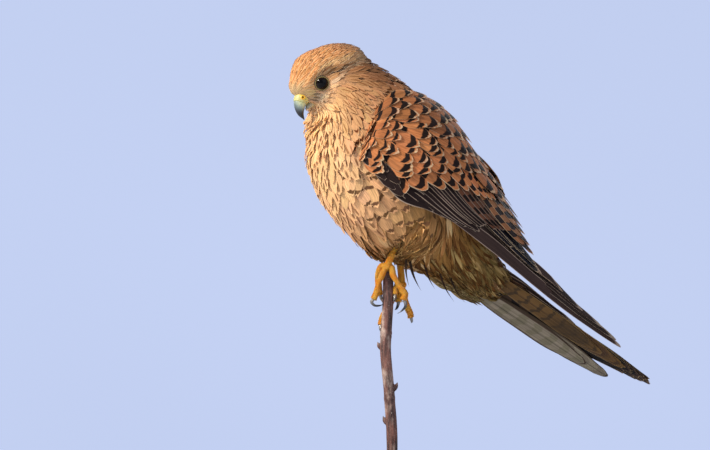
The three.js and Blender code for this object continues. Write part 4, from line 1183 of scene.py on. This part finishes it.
def tailVanes(runs, sides, half, heights, grid, outline, rounding, fray, thick, marks, bow=0.0, turn=0.0):
    # feathers on the tail: runs, sides and heights are pairs, at the root and at the tip
    n = len(runs[0])
    a, b, run, side = vaneSheet(n, *grid, outline, 0.0, np.full(n, fray))
    at = lambda x: np.broadcast_to(np.asarray(x, float), n).reshape(-1, 1, 1)
    roots, tips, first, last, low, high = (at(x) for x in (*runs, *sides, *heights))
    y = roots + (tips - roots) * run - rounding * a ** 2 * b ** 3
    x = first + (last - first) * run + side * at(half)
    z = low + (high - low) * b - tail["roof"] * np.abs(x) - bow * a ** 2 + at(turn) * side
    points = onTail(x, y, z)
    normals = np.broadcast_to(onTail(*np.eye(3)[:, 2]) - np.array(tail["root"]), points.shape)
    chart = np.stack([0.5 + last[:, 0, 0] / 60, 0.1 + tips[:, 0, 0] / 230], 1) + rng.uniform(-0.01, 0.01, (n, 2))
    return vaneGroup(points, normals, a, b, thick, chart, dict(marks, seed=rng.uniform(0, 90, n)))


def makeTail():
    groups = []
    for i, (root, tip, length) in enumerate(tail["feathers"]):
        k = i - (len(tail["feathers"]) - 1) / 2
        up = tail["layer"] * (1 if k == 0.5 else 0.5 - abs(k))
        half, fray, bars, tone, streak = tail["pale" if k < -4 else "edge" if k > 4 else "dark"]
        look = {**barMarks(1, *bars), **tones(1, *tone), "streak": wide(1, *streak)}
        groups.append(tailVanes(([tail["start"]], [length]), ([root], [tip]), half, (up, up), (26, 10),
                                (0.5, 0.9, 1.0, 0.98, 0.55), 9, fray, 0.3, look, turn=0.5 if k > 0 else -0.5))
    vanePiece("tail_feathers", groups, quillFeather, "tail_barred", ["tail"])
    # long soft coverts under the tail, from the vent back
    n = 90
    back = np.sort(rng.uniform(-28, -4, n))
    far = ease(back, -28, 60)
    side = rng.uniform(-1, 1, n)
    middle, half = -3.0 - 1.0 * far, 14.5 - 2.5 * far
    low = -9.5 + 4.8 * far + 1.6 * np.abs(side) * (1 - far)
    under = tailVanes((back, back + 24 + 8 * rng.random(n)), (middle + side * half, middle + side * (half - 1)),
                      2.8 + 1.2 * rng.random(n), (low + 1.4, low - 1.4 + rng.normal(0, 0.3, n)), (12, 9),
                      (0.4, 0.9, 0.9, 0.25), 8, 0.1, 0.2,
                      {**barMarks(n, 0, 0, 0.3, 0, 0.12, 5), **tones(n, "7e6640", "463523", "b59c6c", 0.22),
                       "streak": np.stack([np.full(n, 0.2), np.full(n, 0.3), 0.8 * (rng.random(n) < 0.5)], 1)},
                      bow=0.7, turn=rng.normal(0, 0.3, n))
    # shorter barred coverts over it
    n = 60
    back = np.sort(rng.uniform(-14, 44, n))
    far = ease(back, -14, 44)
    side = rng.uniform(-1, 1, n)
    high = 8.6 - 6.4 * far
    over = tailVanes((back, back + 24 + 6 * rng.random(n)), (side * (9 - 2 * far), side * 9), 4.4,
                     (high - 0.8, high - 0.6 + rng.normal(0, 0.2, n)), (9, 8), (0.45, 0.95, 1.0, 0.5), 5, 0.08, 0.2,
                     {**barMarks(n, 1.6, 0.2, 0.3, 0.1, 0.12, 3), **tones(n, "9a7256", "3d2c22", "c8a684", 0.1)},
                     bow=0.8)
    vanePiece("tail_coverts", [under, over], softFeather, "tail_barred")


makeTail()


# near black tips that hang from the belly and the vent, over the right leg: their dark colour is painted shade
# under the belly
hanging = {
    "tips": [  # where each begins and ends, and half its width
        ([10, 8, 150], [14, 7.4, 129.5], 0.8), ([10, 10.4, 147], [14, 16.6, 127], 0.9),
        ([9, 22, 147], [14, 27.1, 128.5], 0.8), ([6, 36, 140], [10, 44.5, 121], 0.7),
        ([5, 45, 137], [9, 54, 120.5], 0.6),
    ],
    # the near black tones of these tips are painted shade
    "bow": np.array([0.3, 0.7, 0.2]), "tones": ("3a2a20", "1d1512", "4a382a", 0.1),
}


def makeHangingTips():
    n = len(hanging["tips"])
    first, last, half = (np.array(k, float).reshape(n, 1, 1, -1) for k in zip(*hanging["tips"]))
    a, b, run, side = vaneSheet(n, 12, 4, (1.0, 1.0, 0.5, 0.05), 0.0, np.full(n, 0.02))
    bow = 1.6 * np.sin(run * pi)[..., None] * hanging["bow"]
    points = first + (last - first) * run[..., None] + side[..., None] * half * [*leg["right"], 0] - bow
    normals = np.broadcast_to([*leg["front"], 0], points.shape)
    marks = {**barMarks(n, 0, 0, 0.3, 0, 0.02, 4), **tones(n, *hanging["tones"]), "seed": np.arange(n) * 1.0}
    group = vaneGroup(points, normals, a, b, 0.3, wide(n, 0.5, 0.5), marks)
    vanePiece("belly_shaded_tips", [group], softFeather, "plumage_buff")


makeHangingTips()


# eyes and lids
eyeTones = {"pupil": "030203", "iris": "160a06", "lidInner": "a08a4c", "lidOuter": "3a2d20"}


def makeEyes():
    for name, sign in (("right", 1), ("left", -1)):
        centre = eyeCentre(sign)
        turn = math.radians(eye["toFront"])
        axis = np.array([sign * math.cos(turn), math.sin(turn), 0]) @ headTurn.T
        top = headTurn[:, 2]
        up = unit(top - (top @ axis) * axis)
        side = np.cross(axis, up)
        spoke = lambda a: np.cos(a)[..., None] * up + np.sin(a)[..., None] * side

        def ball(t, a):
            polar = t * pi * 0.998 + 0.001
            r = eye["radius"] + eye["bulge"] * np.exp(-(polar / 0.62) ** 4)
            return centre + r[..., None] * (np.cos(polar)[..., None] * axis + np.sin(polar)[..., None] * spoke(a))

        made = makeSolid(f"eye_{name}_ball", loft(ball, 48, 40), eyeFinish, "eye", [f"eye_{name}"])
        polar = np.arccos(np.clip(unit(readPoints(made.data) - centre) @ axis, -1, 1))
        paint(made.data, toward(eyeTones["pupil"], ease(polar, 0.5, 0.62), eyeTones["iris"]))

        # lids: a fleshy ring, rolled at its inner edge, thicker above
        def lid(t, a):
            ringAngle = t * 2 * pi
            r = eye["lid"] + 0.2 + 0.07 * np.sin(ringAngle * 37) * np.cos(a)
            tube = 0.42 + 0.25 * ease(np.cos(ringAngle), -0.2, 1)
            reach = math.sqrt(eye["radius"] ** 2 - eye["lid"] ** 2) + 0.1 + tube * np.sin(a) * 0.8
            return centre + axis * reach[..., None] + spoke(ringAngle) * (r + tube * np.cos(a))[..., None]

        made = makeSolid(f"lid_{name}", ringLoft(lid, 14, 96), lidFinish, "cere")
        p = readPoints(made.data) - centre
        out = np.linalg.norm(p - (p @ axis)[:, None] * axis, axis=1)
        share = ease(out, eye["lid"], eye["lid"] + 0.5)
        paint(made.data, toward(eyeTones["lidInner"], share, eyeTones["lidOuter"]))


makeEyes()


# bill
bill = {
    "line": [[4, 0.3], [8.4, 0], [12.2, -0.9], [15.6, -3.2], [18, -6.8], [18.9, -11.2]],
    "wide": [5.6, 5.2, 4.4, 3.2, 1.9, 0.35], "over": [5.6, 5.2, 4.7, 3.6, 2.2, 0.35],
    "under": [5.4, 5.0, 4.4, 3.4, 2.0, 0.35], "cereFront": 13.6, "swell": 0.25,
    "lower": [[3, -7.4], [7.4, -7.2], [10.6, -6.8], [13.4, -7]],
    "lowerRadii": np.array([4.4, 4.0, 2.8, 0.7]) * 0.97,
    "nostril": {"forward": 11.6, "side": 2.2, "up": 0.6, "radius": 0.8},
    "tooth": {"height": 0.55, "place": 0.68, "spread": 0.055},  # the cutting edge hangs lower behind the hook
    "horn": ("c9cc92", "b3bb9c", "7f8c84", "4b5355", "1b1b1e", "09090b"),  # from the cere to the hook
    "lowerHorn": ("cdb678", "8d8b7c"), "cere": "dcc648", "cereLow": "c7b978", "cereEdge": "c9c27e",
    # hole: the nostril's opening, painted near black as painted shade inside it
    "ring": "f2b42c", "hole": "1c0e06",
}
billLine = np.array([[0, y, z] for y, z in bill["line"]])


def billLocal(t, angle, out):
    run = runOf(lambda k: curveAt(billLine, k), t)
    up = np.stack([0 * t, -run[..., 2], run[..., 1]], -1)
    c, s = np.cos(angle), np.sin(angle)
    tall = np.where(c > 0, along(bill["over"], t), along(bill["under"], t)) + out
    k = bill["tooth"]
    tooth = k["height"] * np.exp(-((t - k["place"]) / k["spread"]) ** 2) * np.exp(-((np.abs(s) - 0.75) / 0.25) ** 2)
    side = (along(bill["wide"], t) + out) * s
    return curveAt(billLine, t) + up * ((tall + tooth * (c < 0)) * c)[..., None] + side[..., None] * [1.0, 0, 0]


def billStation(forward):  # where the bill's line passes a distance forward
    stops = np.linspace(0, 1, 200)
    y = curveAt(billLine, stops)[:, 1]
    return float(np.interp(forward, y[:170], stops[:170]))


def makeBill():
    front, n = bill["cereFront"], bill["nostril"]
    # upper half: horn from the cere to the hook
    first = billStation(front + 0.05)
    horn = lambda t, a: onHead(billLocal(first + (1 - first) * t, a, 0.0))
    made = makeSolid("bill_upper_horn", loft(horn, 64, 90), hornFinish, "horn", ["bill_upper"])
    local = toHead(readPoints(made.data))
    away = ease(np.hypot(local[:, 1] - front + 1, (local[:, 2] + 1.5) * 0.9), 1.0, 10.5)
    under = ease(-local[:, 2] - 0.9 * (local[:, 1] - front), 2.0, 6.5)  # darker toward the cutting edge
    steps = np.stack([linear(c) for c in bill["horn"]])
    paint(made.data, along(steps, np.clip(away ** 0.9 + 0.22 * under * (1 - away), 0, 1)))
    # cere: a waxy swelling with a round nostril and the small peg inside it
    last = billStation(front - 0.1)
    fromNostril = lambda p: np.hypot(p[..., 1] - n["forward"], p[..., 2] - n["up"]) / n["radius"]

    def cere(t, a):
        p = billLocal(last * t, a, bill["swell"])
        d = fromNostril(p)
        onSide = (np.abs(p[..., 0]) > n["side"]) & (d < 3)
        inward = -1.5 * (1 - ease(d, 0.72, 1.02)) + 1.15 * (1 - ease(d, 0.25, 0.45)) \
            + 0.28 * np.exp(-((d - 1.35) / 0.35) ** 2)
        away = unit(np.stack([np.sign(p[..., 0]), 0 * d, 0.35 + 0 * d], -1))
        return onHead(p + away * (inward * onSide)[..., None])

    made = makeSolid("cere_wax", loft(cere, 150, 110), cereFinish, "cere", ["cere"])
    local = toHead(readPoints(made.data))
    d = fromNostril(local)
    ground = toward(bill["cere"], ease(-local[:, 2], -1, 4), bill["cereLow"])
    ground = toward(ground, ease(local[:, 1], front - 2.2, front), bill["cereEdge"])
    ground = toward(ground, np.exp(-((d - 1.4) / 0.55) ** 2), bill["ring"])
    # the nostril's opening painted near black round the lighter peg: painted shade inside the hole
    paint(made.data, toward(ground, (1 - ease(d, 0.75, 1.0)) * ease(d, 0.2, 0.36), bill["hole"]))
    # lower half, shut inside the upper
    lowerLine = onHead([[0, y, z] for y, z in bill["lower"]])
    lower = lambda t, a: rodPoint(lowerLine, bill["lowerRadii"], t, a, 0.68)
    made = makeSolid("bill_lower_horn", loft(lower, 40, 40), hornFinish, "horn", ["bill_lower"])
    back, tip = bill["lowerHorn"]
    paint(made.data, toward(back, ease(toHead(readPoints(made.data))[:, 1], 6, 13), tip))


makeBill()


# feet
foot = {
    "tarsus": [2.2, 2.15, 2.3, 2.6], "toe": [2.1, 2.05, 1.85, 1.9, 2.25, 2.0], "claw": [1.3, 1.1, 0.8, 0.15],
    "palm": (3.6, 3.6, 2.8), "skin": ("ff9c08", "ffc244", "c8680a"), "clawTones": ("8a857f", "1a1a22"),
    "tarsusPlates": 11, "toePlates": 13, "toeJoints": 3, "voxel": 0.32, "smoothing": 2,
}
feetLines = {  # each toe's joints from the foot, then its claw
    "left": {
        "tarsus": [[11.7, 2.2, 160.3], [8.4, -0.4, 152.9], [4.8, -2.4, 145.4]], "palm": [2.9, -2.2, 143],
        "outer": ([[2.7, -4.6, 140.1], [1.6, -6.8, 134.9], [0.2, -8, 129], [-0.8, -8.9, 124.2],
                   [-1.7, -10.2, 121.6]],
                  [[-2.3, -11, 119.8], [-1.7, -9.3, 117.8], [-0.4, -6.2, 117.6], [0.8, -3.8, 118.6]]),
        "middle": ([[-1.1, -4.3, 143.2], [-3, -5.7, 138.9], [-3.8, -5.4, 133.5], [-3.9, -4.3, 128.3],
                    [-3.7, -3.6, 124.7]],
                   [[-3.8, -3, 122.6], [-4.5, -0.9, 120.9], [-4.8, 1.7, 120.7]]),
        "inner": ([[-1.9, -0.5, 143], [-4.6, 2.1, 140.3], [-5, 3.4, 136], [-4.7, 3.7, 132.1]],
                  [[-4.6, 3.8, 130], [-3.5, 4.5, 128], [-2.2, 5.1, 127.3]]),
        "hind": ([[5, -0.6, 142.1], [6.2, 0.3, 137.1], [7.5, 2.6, 132], [8.8, 5.8, 127.4], [9.2, 7.1, 124.6],
                  [8.5, 6.3, 121]],
                 [[9.1, 7.6, 119.6], [8.8, 7.6, 116.9], [7.4, 6.1, 114.4], [5.6, 3.7, 112.4]]),
    },
    "right": {
        "tarsus": [[-9.7, 9.3, 159.3], [-3.4, 10.5, 147], [-0.5, 10.4, 135.6]], "palm": [0.3, 9.7, 131.6],
        "outer": ([[0.2, 8.7, 128], [0.8, 7.7, 124.3], [1.5, 7, 120.2]],
                  [[2, 6.2, 118.1], [3.2, 4.4, 115.8], [4, 2.6, 114.8]]),
        "middle": ([[-2, 8.6, 127.4], [-4.1, 5.7, 121.7], [-5.2, 1.9, 115], [-4.7, -1.7, 109.6],
                    [-3.8, -3.3, 105.1]],
                   [[-3.2, -3.9, 103], [-0.9, -4, 101], [1.7, -3.1, 101.1]]),
        "inner": ([[1.1, 7.1, 131.7], [2, 4.7, 130.1], [2.6, 3.7, 127.2], [3, 3.3, 124.7]],
                  [[3.5, 2.9, 123.1], [4.1, 2.2, 121.2], [4.4, 1.3, 119.8]]),
        "hind": ([[0.5, 10.9, 127.7], [0.4, 12.3, 123.2], [0.5, 14.1, 118.1], [0.7, 16, 113.3], [0.8, 16.9, 110.4]],
                 [[0.6, 17.4, 109], [-0.4, 18.1, 107.9], [-1.8, 18.5, 107.1]]),
    },
}


def awayFromTwig(points):  # the side of a toe that faces away from the twig
    angles = np.linspace(0, 2 * pi, 24)
    ring = rodPoint(points, [1, 1, 1], np.full(24, 0.5), angles)
    return angles[np.argmax(np.linalg.norm(ring[:, :2], axis=1))]


def scuted(points, radii, count, depth, t, a, joints=0):  # a rod with plates on its front and pads under its joints
    front = np.cos(a - awayFromTwig(points))
    wave = (t * count) % 1
    plate = depth * (np.sin(wave * pi) ** 0.5 - 0.55) * ease(front, -0.5, 0.6)
    pads = 0.16 * np.cos(t * joints * 2 * pi) * ease(-front, -0.4, 0.7) if joints else 0.0
    middle = curveAt(points, t)
    return middle + (rodPoint(points, radii, t, a) - middle) * (1 + plate + pads)[..., None]


def makeFootFinish():
    g = Graph("foot_scales", **{"Roughness": 0.4, "Subsurface Weight": 0.1, "Subsurface Scale": 0.001})
    cells = g.add("ShaderNodeTexVoronoi", feature="DISTANCE_TO_EDGE")
    cells.inputs["Scale"].default_value = 1150
    grooves = g.rise(cells.outputs["Distance"], 0.0, 0.16)
    ground, light, groove = (linear(c) for c in foot["skin"])
    colour = g.mix(g.rise(g.noise(160, detail=3.0), 0.35, 0.7), ground, light)
    colour = g.mix(g.times(g.less(1.0, grooves), 0.5), colour, groove)
    return g.finishWith(colour, grooves, 0.00018)


footFinish = makeFootFinish()


def makeFeet():
    for side, lines in feetLines.items():
        shank = [*lines["tarsus"], lines["palm"]]
        parts = [loft(lambda t, a: scuted(shank, foot["tarsus"], foot["tarsusPlates"], 0.1, t, a), 28, 100)]
        palm = lambda t, a: np.array(lines["palm"]) + np.stack(
            [np.sin(t * pi) * np.cos(a), np.sin(t * pi) * np.sin(a), np.cos(t * pi)], -1) * foot["palm"]
        parts.append(loft(lambda t, a: palm(t * 0.998 + 0.001, a), 28, 20))
        for toe in ("outer", "middle", "inner", "hind"):
            bone, claw = lines[toe]
            points = [lines["palm"], *bone]
            toeSkin = lambda t, a: scuted(points, foot["toe"], foot["toePlates"], 0.13, t, a, foot["toeJoints"])
            parts.append(loft(toeSkin, 26, 110))
            tipLine = [bone[-1], *claw]
            made = makeSolid(f"claw_{side}_{toe}_horn",
                             loft(lambda t, a: rodPoint(tipLine, foot["claw"], t, a, 0.85), 24, 50),
                             clawFinish, "claw", [f"claw_{side}_{toe}"])
            away = np.linalg.norm(readPoints(made.data) - np.array(bone[-1]), axis=1)
            rootTone, tipTone = foot["clawTones"]
            paint(made.data, toward(rootTone, ease(away, 1, 5), tipTone))
        made = makeSolid(f"foot_{side}_skin", mergeShells(parts), footFinish, "foot_skin", [f"foot_{side}"])
        remesh(made, foot["voxel"], foot["smoothing"])


makeFeet()
print("eyes, bill and feet made")


# twig and stand
twig = {
    "line": [[1.6, 1.8, 17.3], [1.6, 1.8, 34], [0.4, 0.4, 62], [-0.6, -1.6, 90], [0.3, -0.4, 118], [0, 0, 139.6]],
    "radii": [3.5, 3.7, 3.6, 3.7, 3.7, 3.4], "radius": 3.3,
    "buds": [(0.82, 205, 2.1), (0.6, 245, 2.3), (0.41, 60, 2.6), (0.26, 230, 2.5)],  # place along, side, size
    "bud": np.array([0.78, 0.72, 0.5, 0.1]),  # radii of a bud of size 1
    "knots": [(100, 1.1, 0.28), (97.6, 0.7, 0.2), (58, 1.3, 0.2), (126, 0.8, 0.12)],  # height, spread, swelling
    "bark": ("33201d", "8a5d50", "c2aa9b", "d8c8ba"), "voxel": 0.42, "smoothing": 1,
}
stand = {
    "radius": 62, "height": 10, "rod": 2.5, "cupFoot": 15.5, "cupTop": 23, "gap": 0.3, "twigFoot": 17.3,
    "cup": 2.6, "hole": 0.9, "place": (1.6, 1.8), "sharp": math.radians(40),
    "wood": ("3a2215", "7a4d2e", "22130c"), "steel": ("8e9196", "b6b9bd"),
}


def makeBarkFinish():
    dark, ground, pale, pore = (linear(c) for c in twig["bark"])
    g = Graph("twig_bark", Roughness=0.72)
    strips = g.noise(420, g.stretched(1, 1, 0.16), 6.0, 0.65)
    patches = g.noise(95, g.stretched(1, 1, 0.5), 4.0, 0.6)
    pores = g.noise(1500, g.stretched(1, 1, 2.5), 2.0)
    colour = g.mix(g.rise(strips, 0.35, 0.7), dark, ground)
    colour = g.mix(g.rise(patches, 0.5, 0.7), colour, pale)
    colour = g.mix(g.rise(pores, 0.66, 0.74), colour, pore)
    return g.finishWith(colour, strips, 0.0003)


def makeWoodFinish():
    dark, light, pore = (linear(c) for c in stand["wood"])
    g = Graph("walnut", **{"Roughness": 0.4, "Coat Weight": 0.3, "Coat Roughness": 0.2})
    grain = g.noise(60, g.stretched(0.35, 7, 1), 5.0, 0.6)
    pores = g.noise(900, g.stretched(0.12, 3, 1), 3.0, 0.7)
    colour = g.mix(g.rise(grain, 0.3, 0.7), dark, light)
    return g.finishWith(g.mix(g.rise(pores, 0.6, 0.75, 0.0, 0.6), colour, pore), pores, 0.00005)


def makeSteelFinish():
    dark, light = (linear(c) for c in stand["steel"])
    g = Graph("brushed_steel", **{"Metallic": 1.0, "Roughness": 0.3})
    lines = g.noise(700, g.stretched(1, 1, 12), 3.0)
    return g.finishWith(g.mix(lines, dark, light), lines, 0.00002, g.rise(lines, 0.2, 0.8, 0.24, 0.38))


def makeTwig():
    def stem(t, a):
        p = rodPoint(twig["line"], twig["radii"], t, a)
        middle = curveAt(twig["line"], t)
        z = middle[..., 2]
        swell = 0.06 * np.sin(a * 5 + np.sin(z * 0.11) * 2) + 0.04 * np.sin(a * 11 + z * 0.35)
        for height, spread, size in twig["knots"]:
            swell = swell + size * np.exp(-((z - height) / spread) ** 2)
        return middle + (p - middle) * (0.97 + swell / twig["radius"])[..., None]

    parts = [loft(stem, 40, 320)]
    for t, angle, size in twig["buds"]:
        away = np.array([math.cos(math.radians(angle)), math.sin(math.radians(angle)), 0])
        at = curveAt(twig["line"], np.array([t]))[0]
        line = [at + away * twig["radius"] * 0.5, at + away * (twig["radius"] + size * 0.3) + [0, 0, size * 0.6],
                at + away * (twig["radius"] + size * 0.9) + [0, 0, size * 1.9]]
        parts.append(loft(lambda u, a: rodPoint(line, twig["bud"] * size, u, a), 18, 24))
    made = makeSolid("perch_twig_bark", mergeShells(parts), makeBarkFinish(), "bark", ["perch_twig"])
    remesh(made, twig["voxel"], twig["smoothing"])


def lathe(profile, sides, x=0.0, y=0.0):  # a turned form round an upright axis
    profile = np.array(profile, float)
    stations = np.arange(len(profile))

    def place(t, a):
        r, z = (np.interp(t * stations[-1], stations, profile[:, k]) for k in (0, 1))
        return np.stack([x + r * np.cos(a), y + r * np.sin(a), z], -1)

    return loft(place, sides, len(profile) - 1)


def rounded(profile, radius, steps=5):  # a turned outline with its corners eased
    profile = [np.array(p, float) for p in profile]
    made = [profile[0]]
    for a, p, b in zip(profile, profile[1:], profile[2:]):
        r = min(radius, np.linalg.norm(a - p) / 2.1, np.linalg.norm(b - p) / 2.1)
        p0, p1 = p + unit(a - p) * r, p + unit(b - p) * r
        made += [p0 * (1 - u) ** 2 + p * 2 * u * (1 - u) + p1 * u ** 2 for u in np.linspace(0, 1, steps)]
    return made + [profile[-1]]


def makeStand():
    r, h = stand["radius"], stand["height"]
    wood = rounded([(0.01, 0), (r - 2, 0), (r, 1.6), (r, h - 3.4), (r - 0.8, h - 2.6), (r - 1.2, h - 1.2),
                    (r - 4, h), (0.01, h)], 0.7)
    base = makeSolid("stand_base_wood", lathe(wood, 128), makeWoodFinish(), "base_wood", ["stand_base"])
    rod, hole, cup = stand["rod"], twig["radius"] + stand["hole"], twig["radius"] + stand["cup"]
    low, top, foot = h + stand["gap"], stand["cupTop"], stand["twigFoot"] - 0.3
    steel = rounded([(0.01, low), (rod, low), (rod, stand["cupFoot"] - 1), (cup, stand["cupFoot"]), (cup, top),
                     (hole, top), (hole, foot), (0.01, foot)], 0.5)
    turned = lathe(steel, 64, *stand["place"])
    post = makeSolid("stand_rod_steel", turned, makeSteelFinish(), "steel", ["stand_rod"])
    for made in (base, post):
        made.data.set_sharp_from_angle(angle=stand["sharp"])


makeTwig()
makeStand()


def makeStudio():
    half = studio["floorSize"] / 2
    place, (broad, tall) = Vector((*studio["wallPlace"], 0)), studio["wallSize"]
    away = Vector((place.y, -place.x, 0)).normalized() * (broad / 2)
    top = Vector((0, 0, tall))
    sheets = {
        "studio_floor": [(-half, -half, 0), (half, -half, 0), (half, half, 0), (-half, half, 0)],
        "studio_wall": [place - away, place + away, place + away + top, place - away + top],
    }
    tone, paper = np.array(studio["floor"]), np.array(studio["wall"])
    for name, corners in sheets.items():
        mesh = bpy.data.meshes.new(name)
        mesh.from_pydata(corners, [], [(0, 1, 2, 3)])
        made = bpy.data.objects.new(name, mesh)
        scene.collection.objects.link(made)
        g = Graph(name, Roughness=0.9)
        fibre = g.noise(300, detail=3.0)
        mesh.materials.append(g.finishWith(g.mix(fibre, tone * 0.97, tone), fibre, 0.0001))
        if name == "studio_wall":  # the wall glows a little, like a lit sky
            g.put(g.mix(g.noise(0.7, detail=1.0), paper * 0.94, paper * 1.05), g.shader.inputs["Emission Color"])
            g.shader.inputs["Emission Strength"].default_value = 1.0
            g.put(g.mix(fibre, tone * 0.02, tone * 0.03), g.shader.inputs["Base Color"])


makeStudio()
print("twig, stand and studio made")
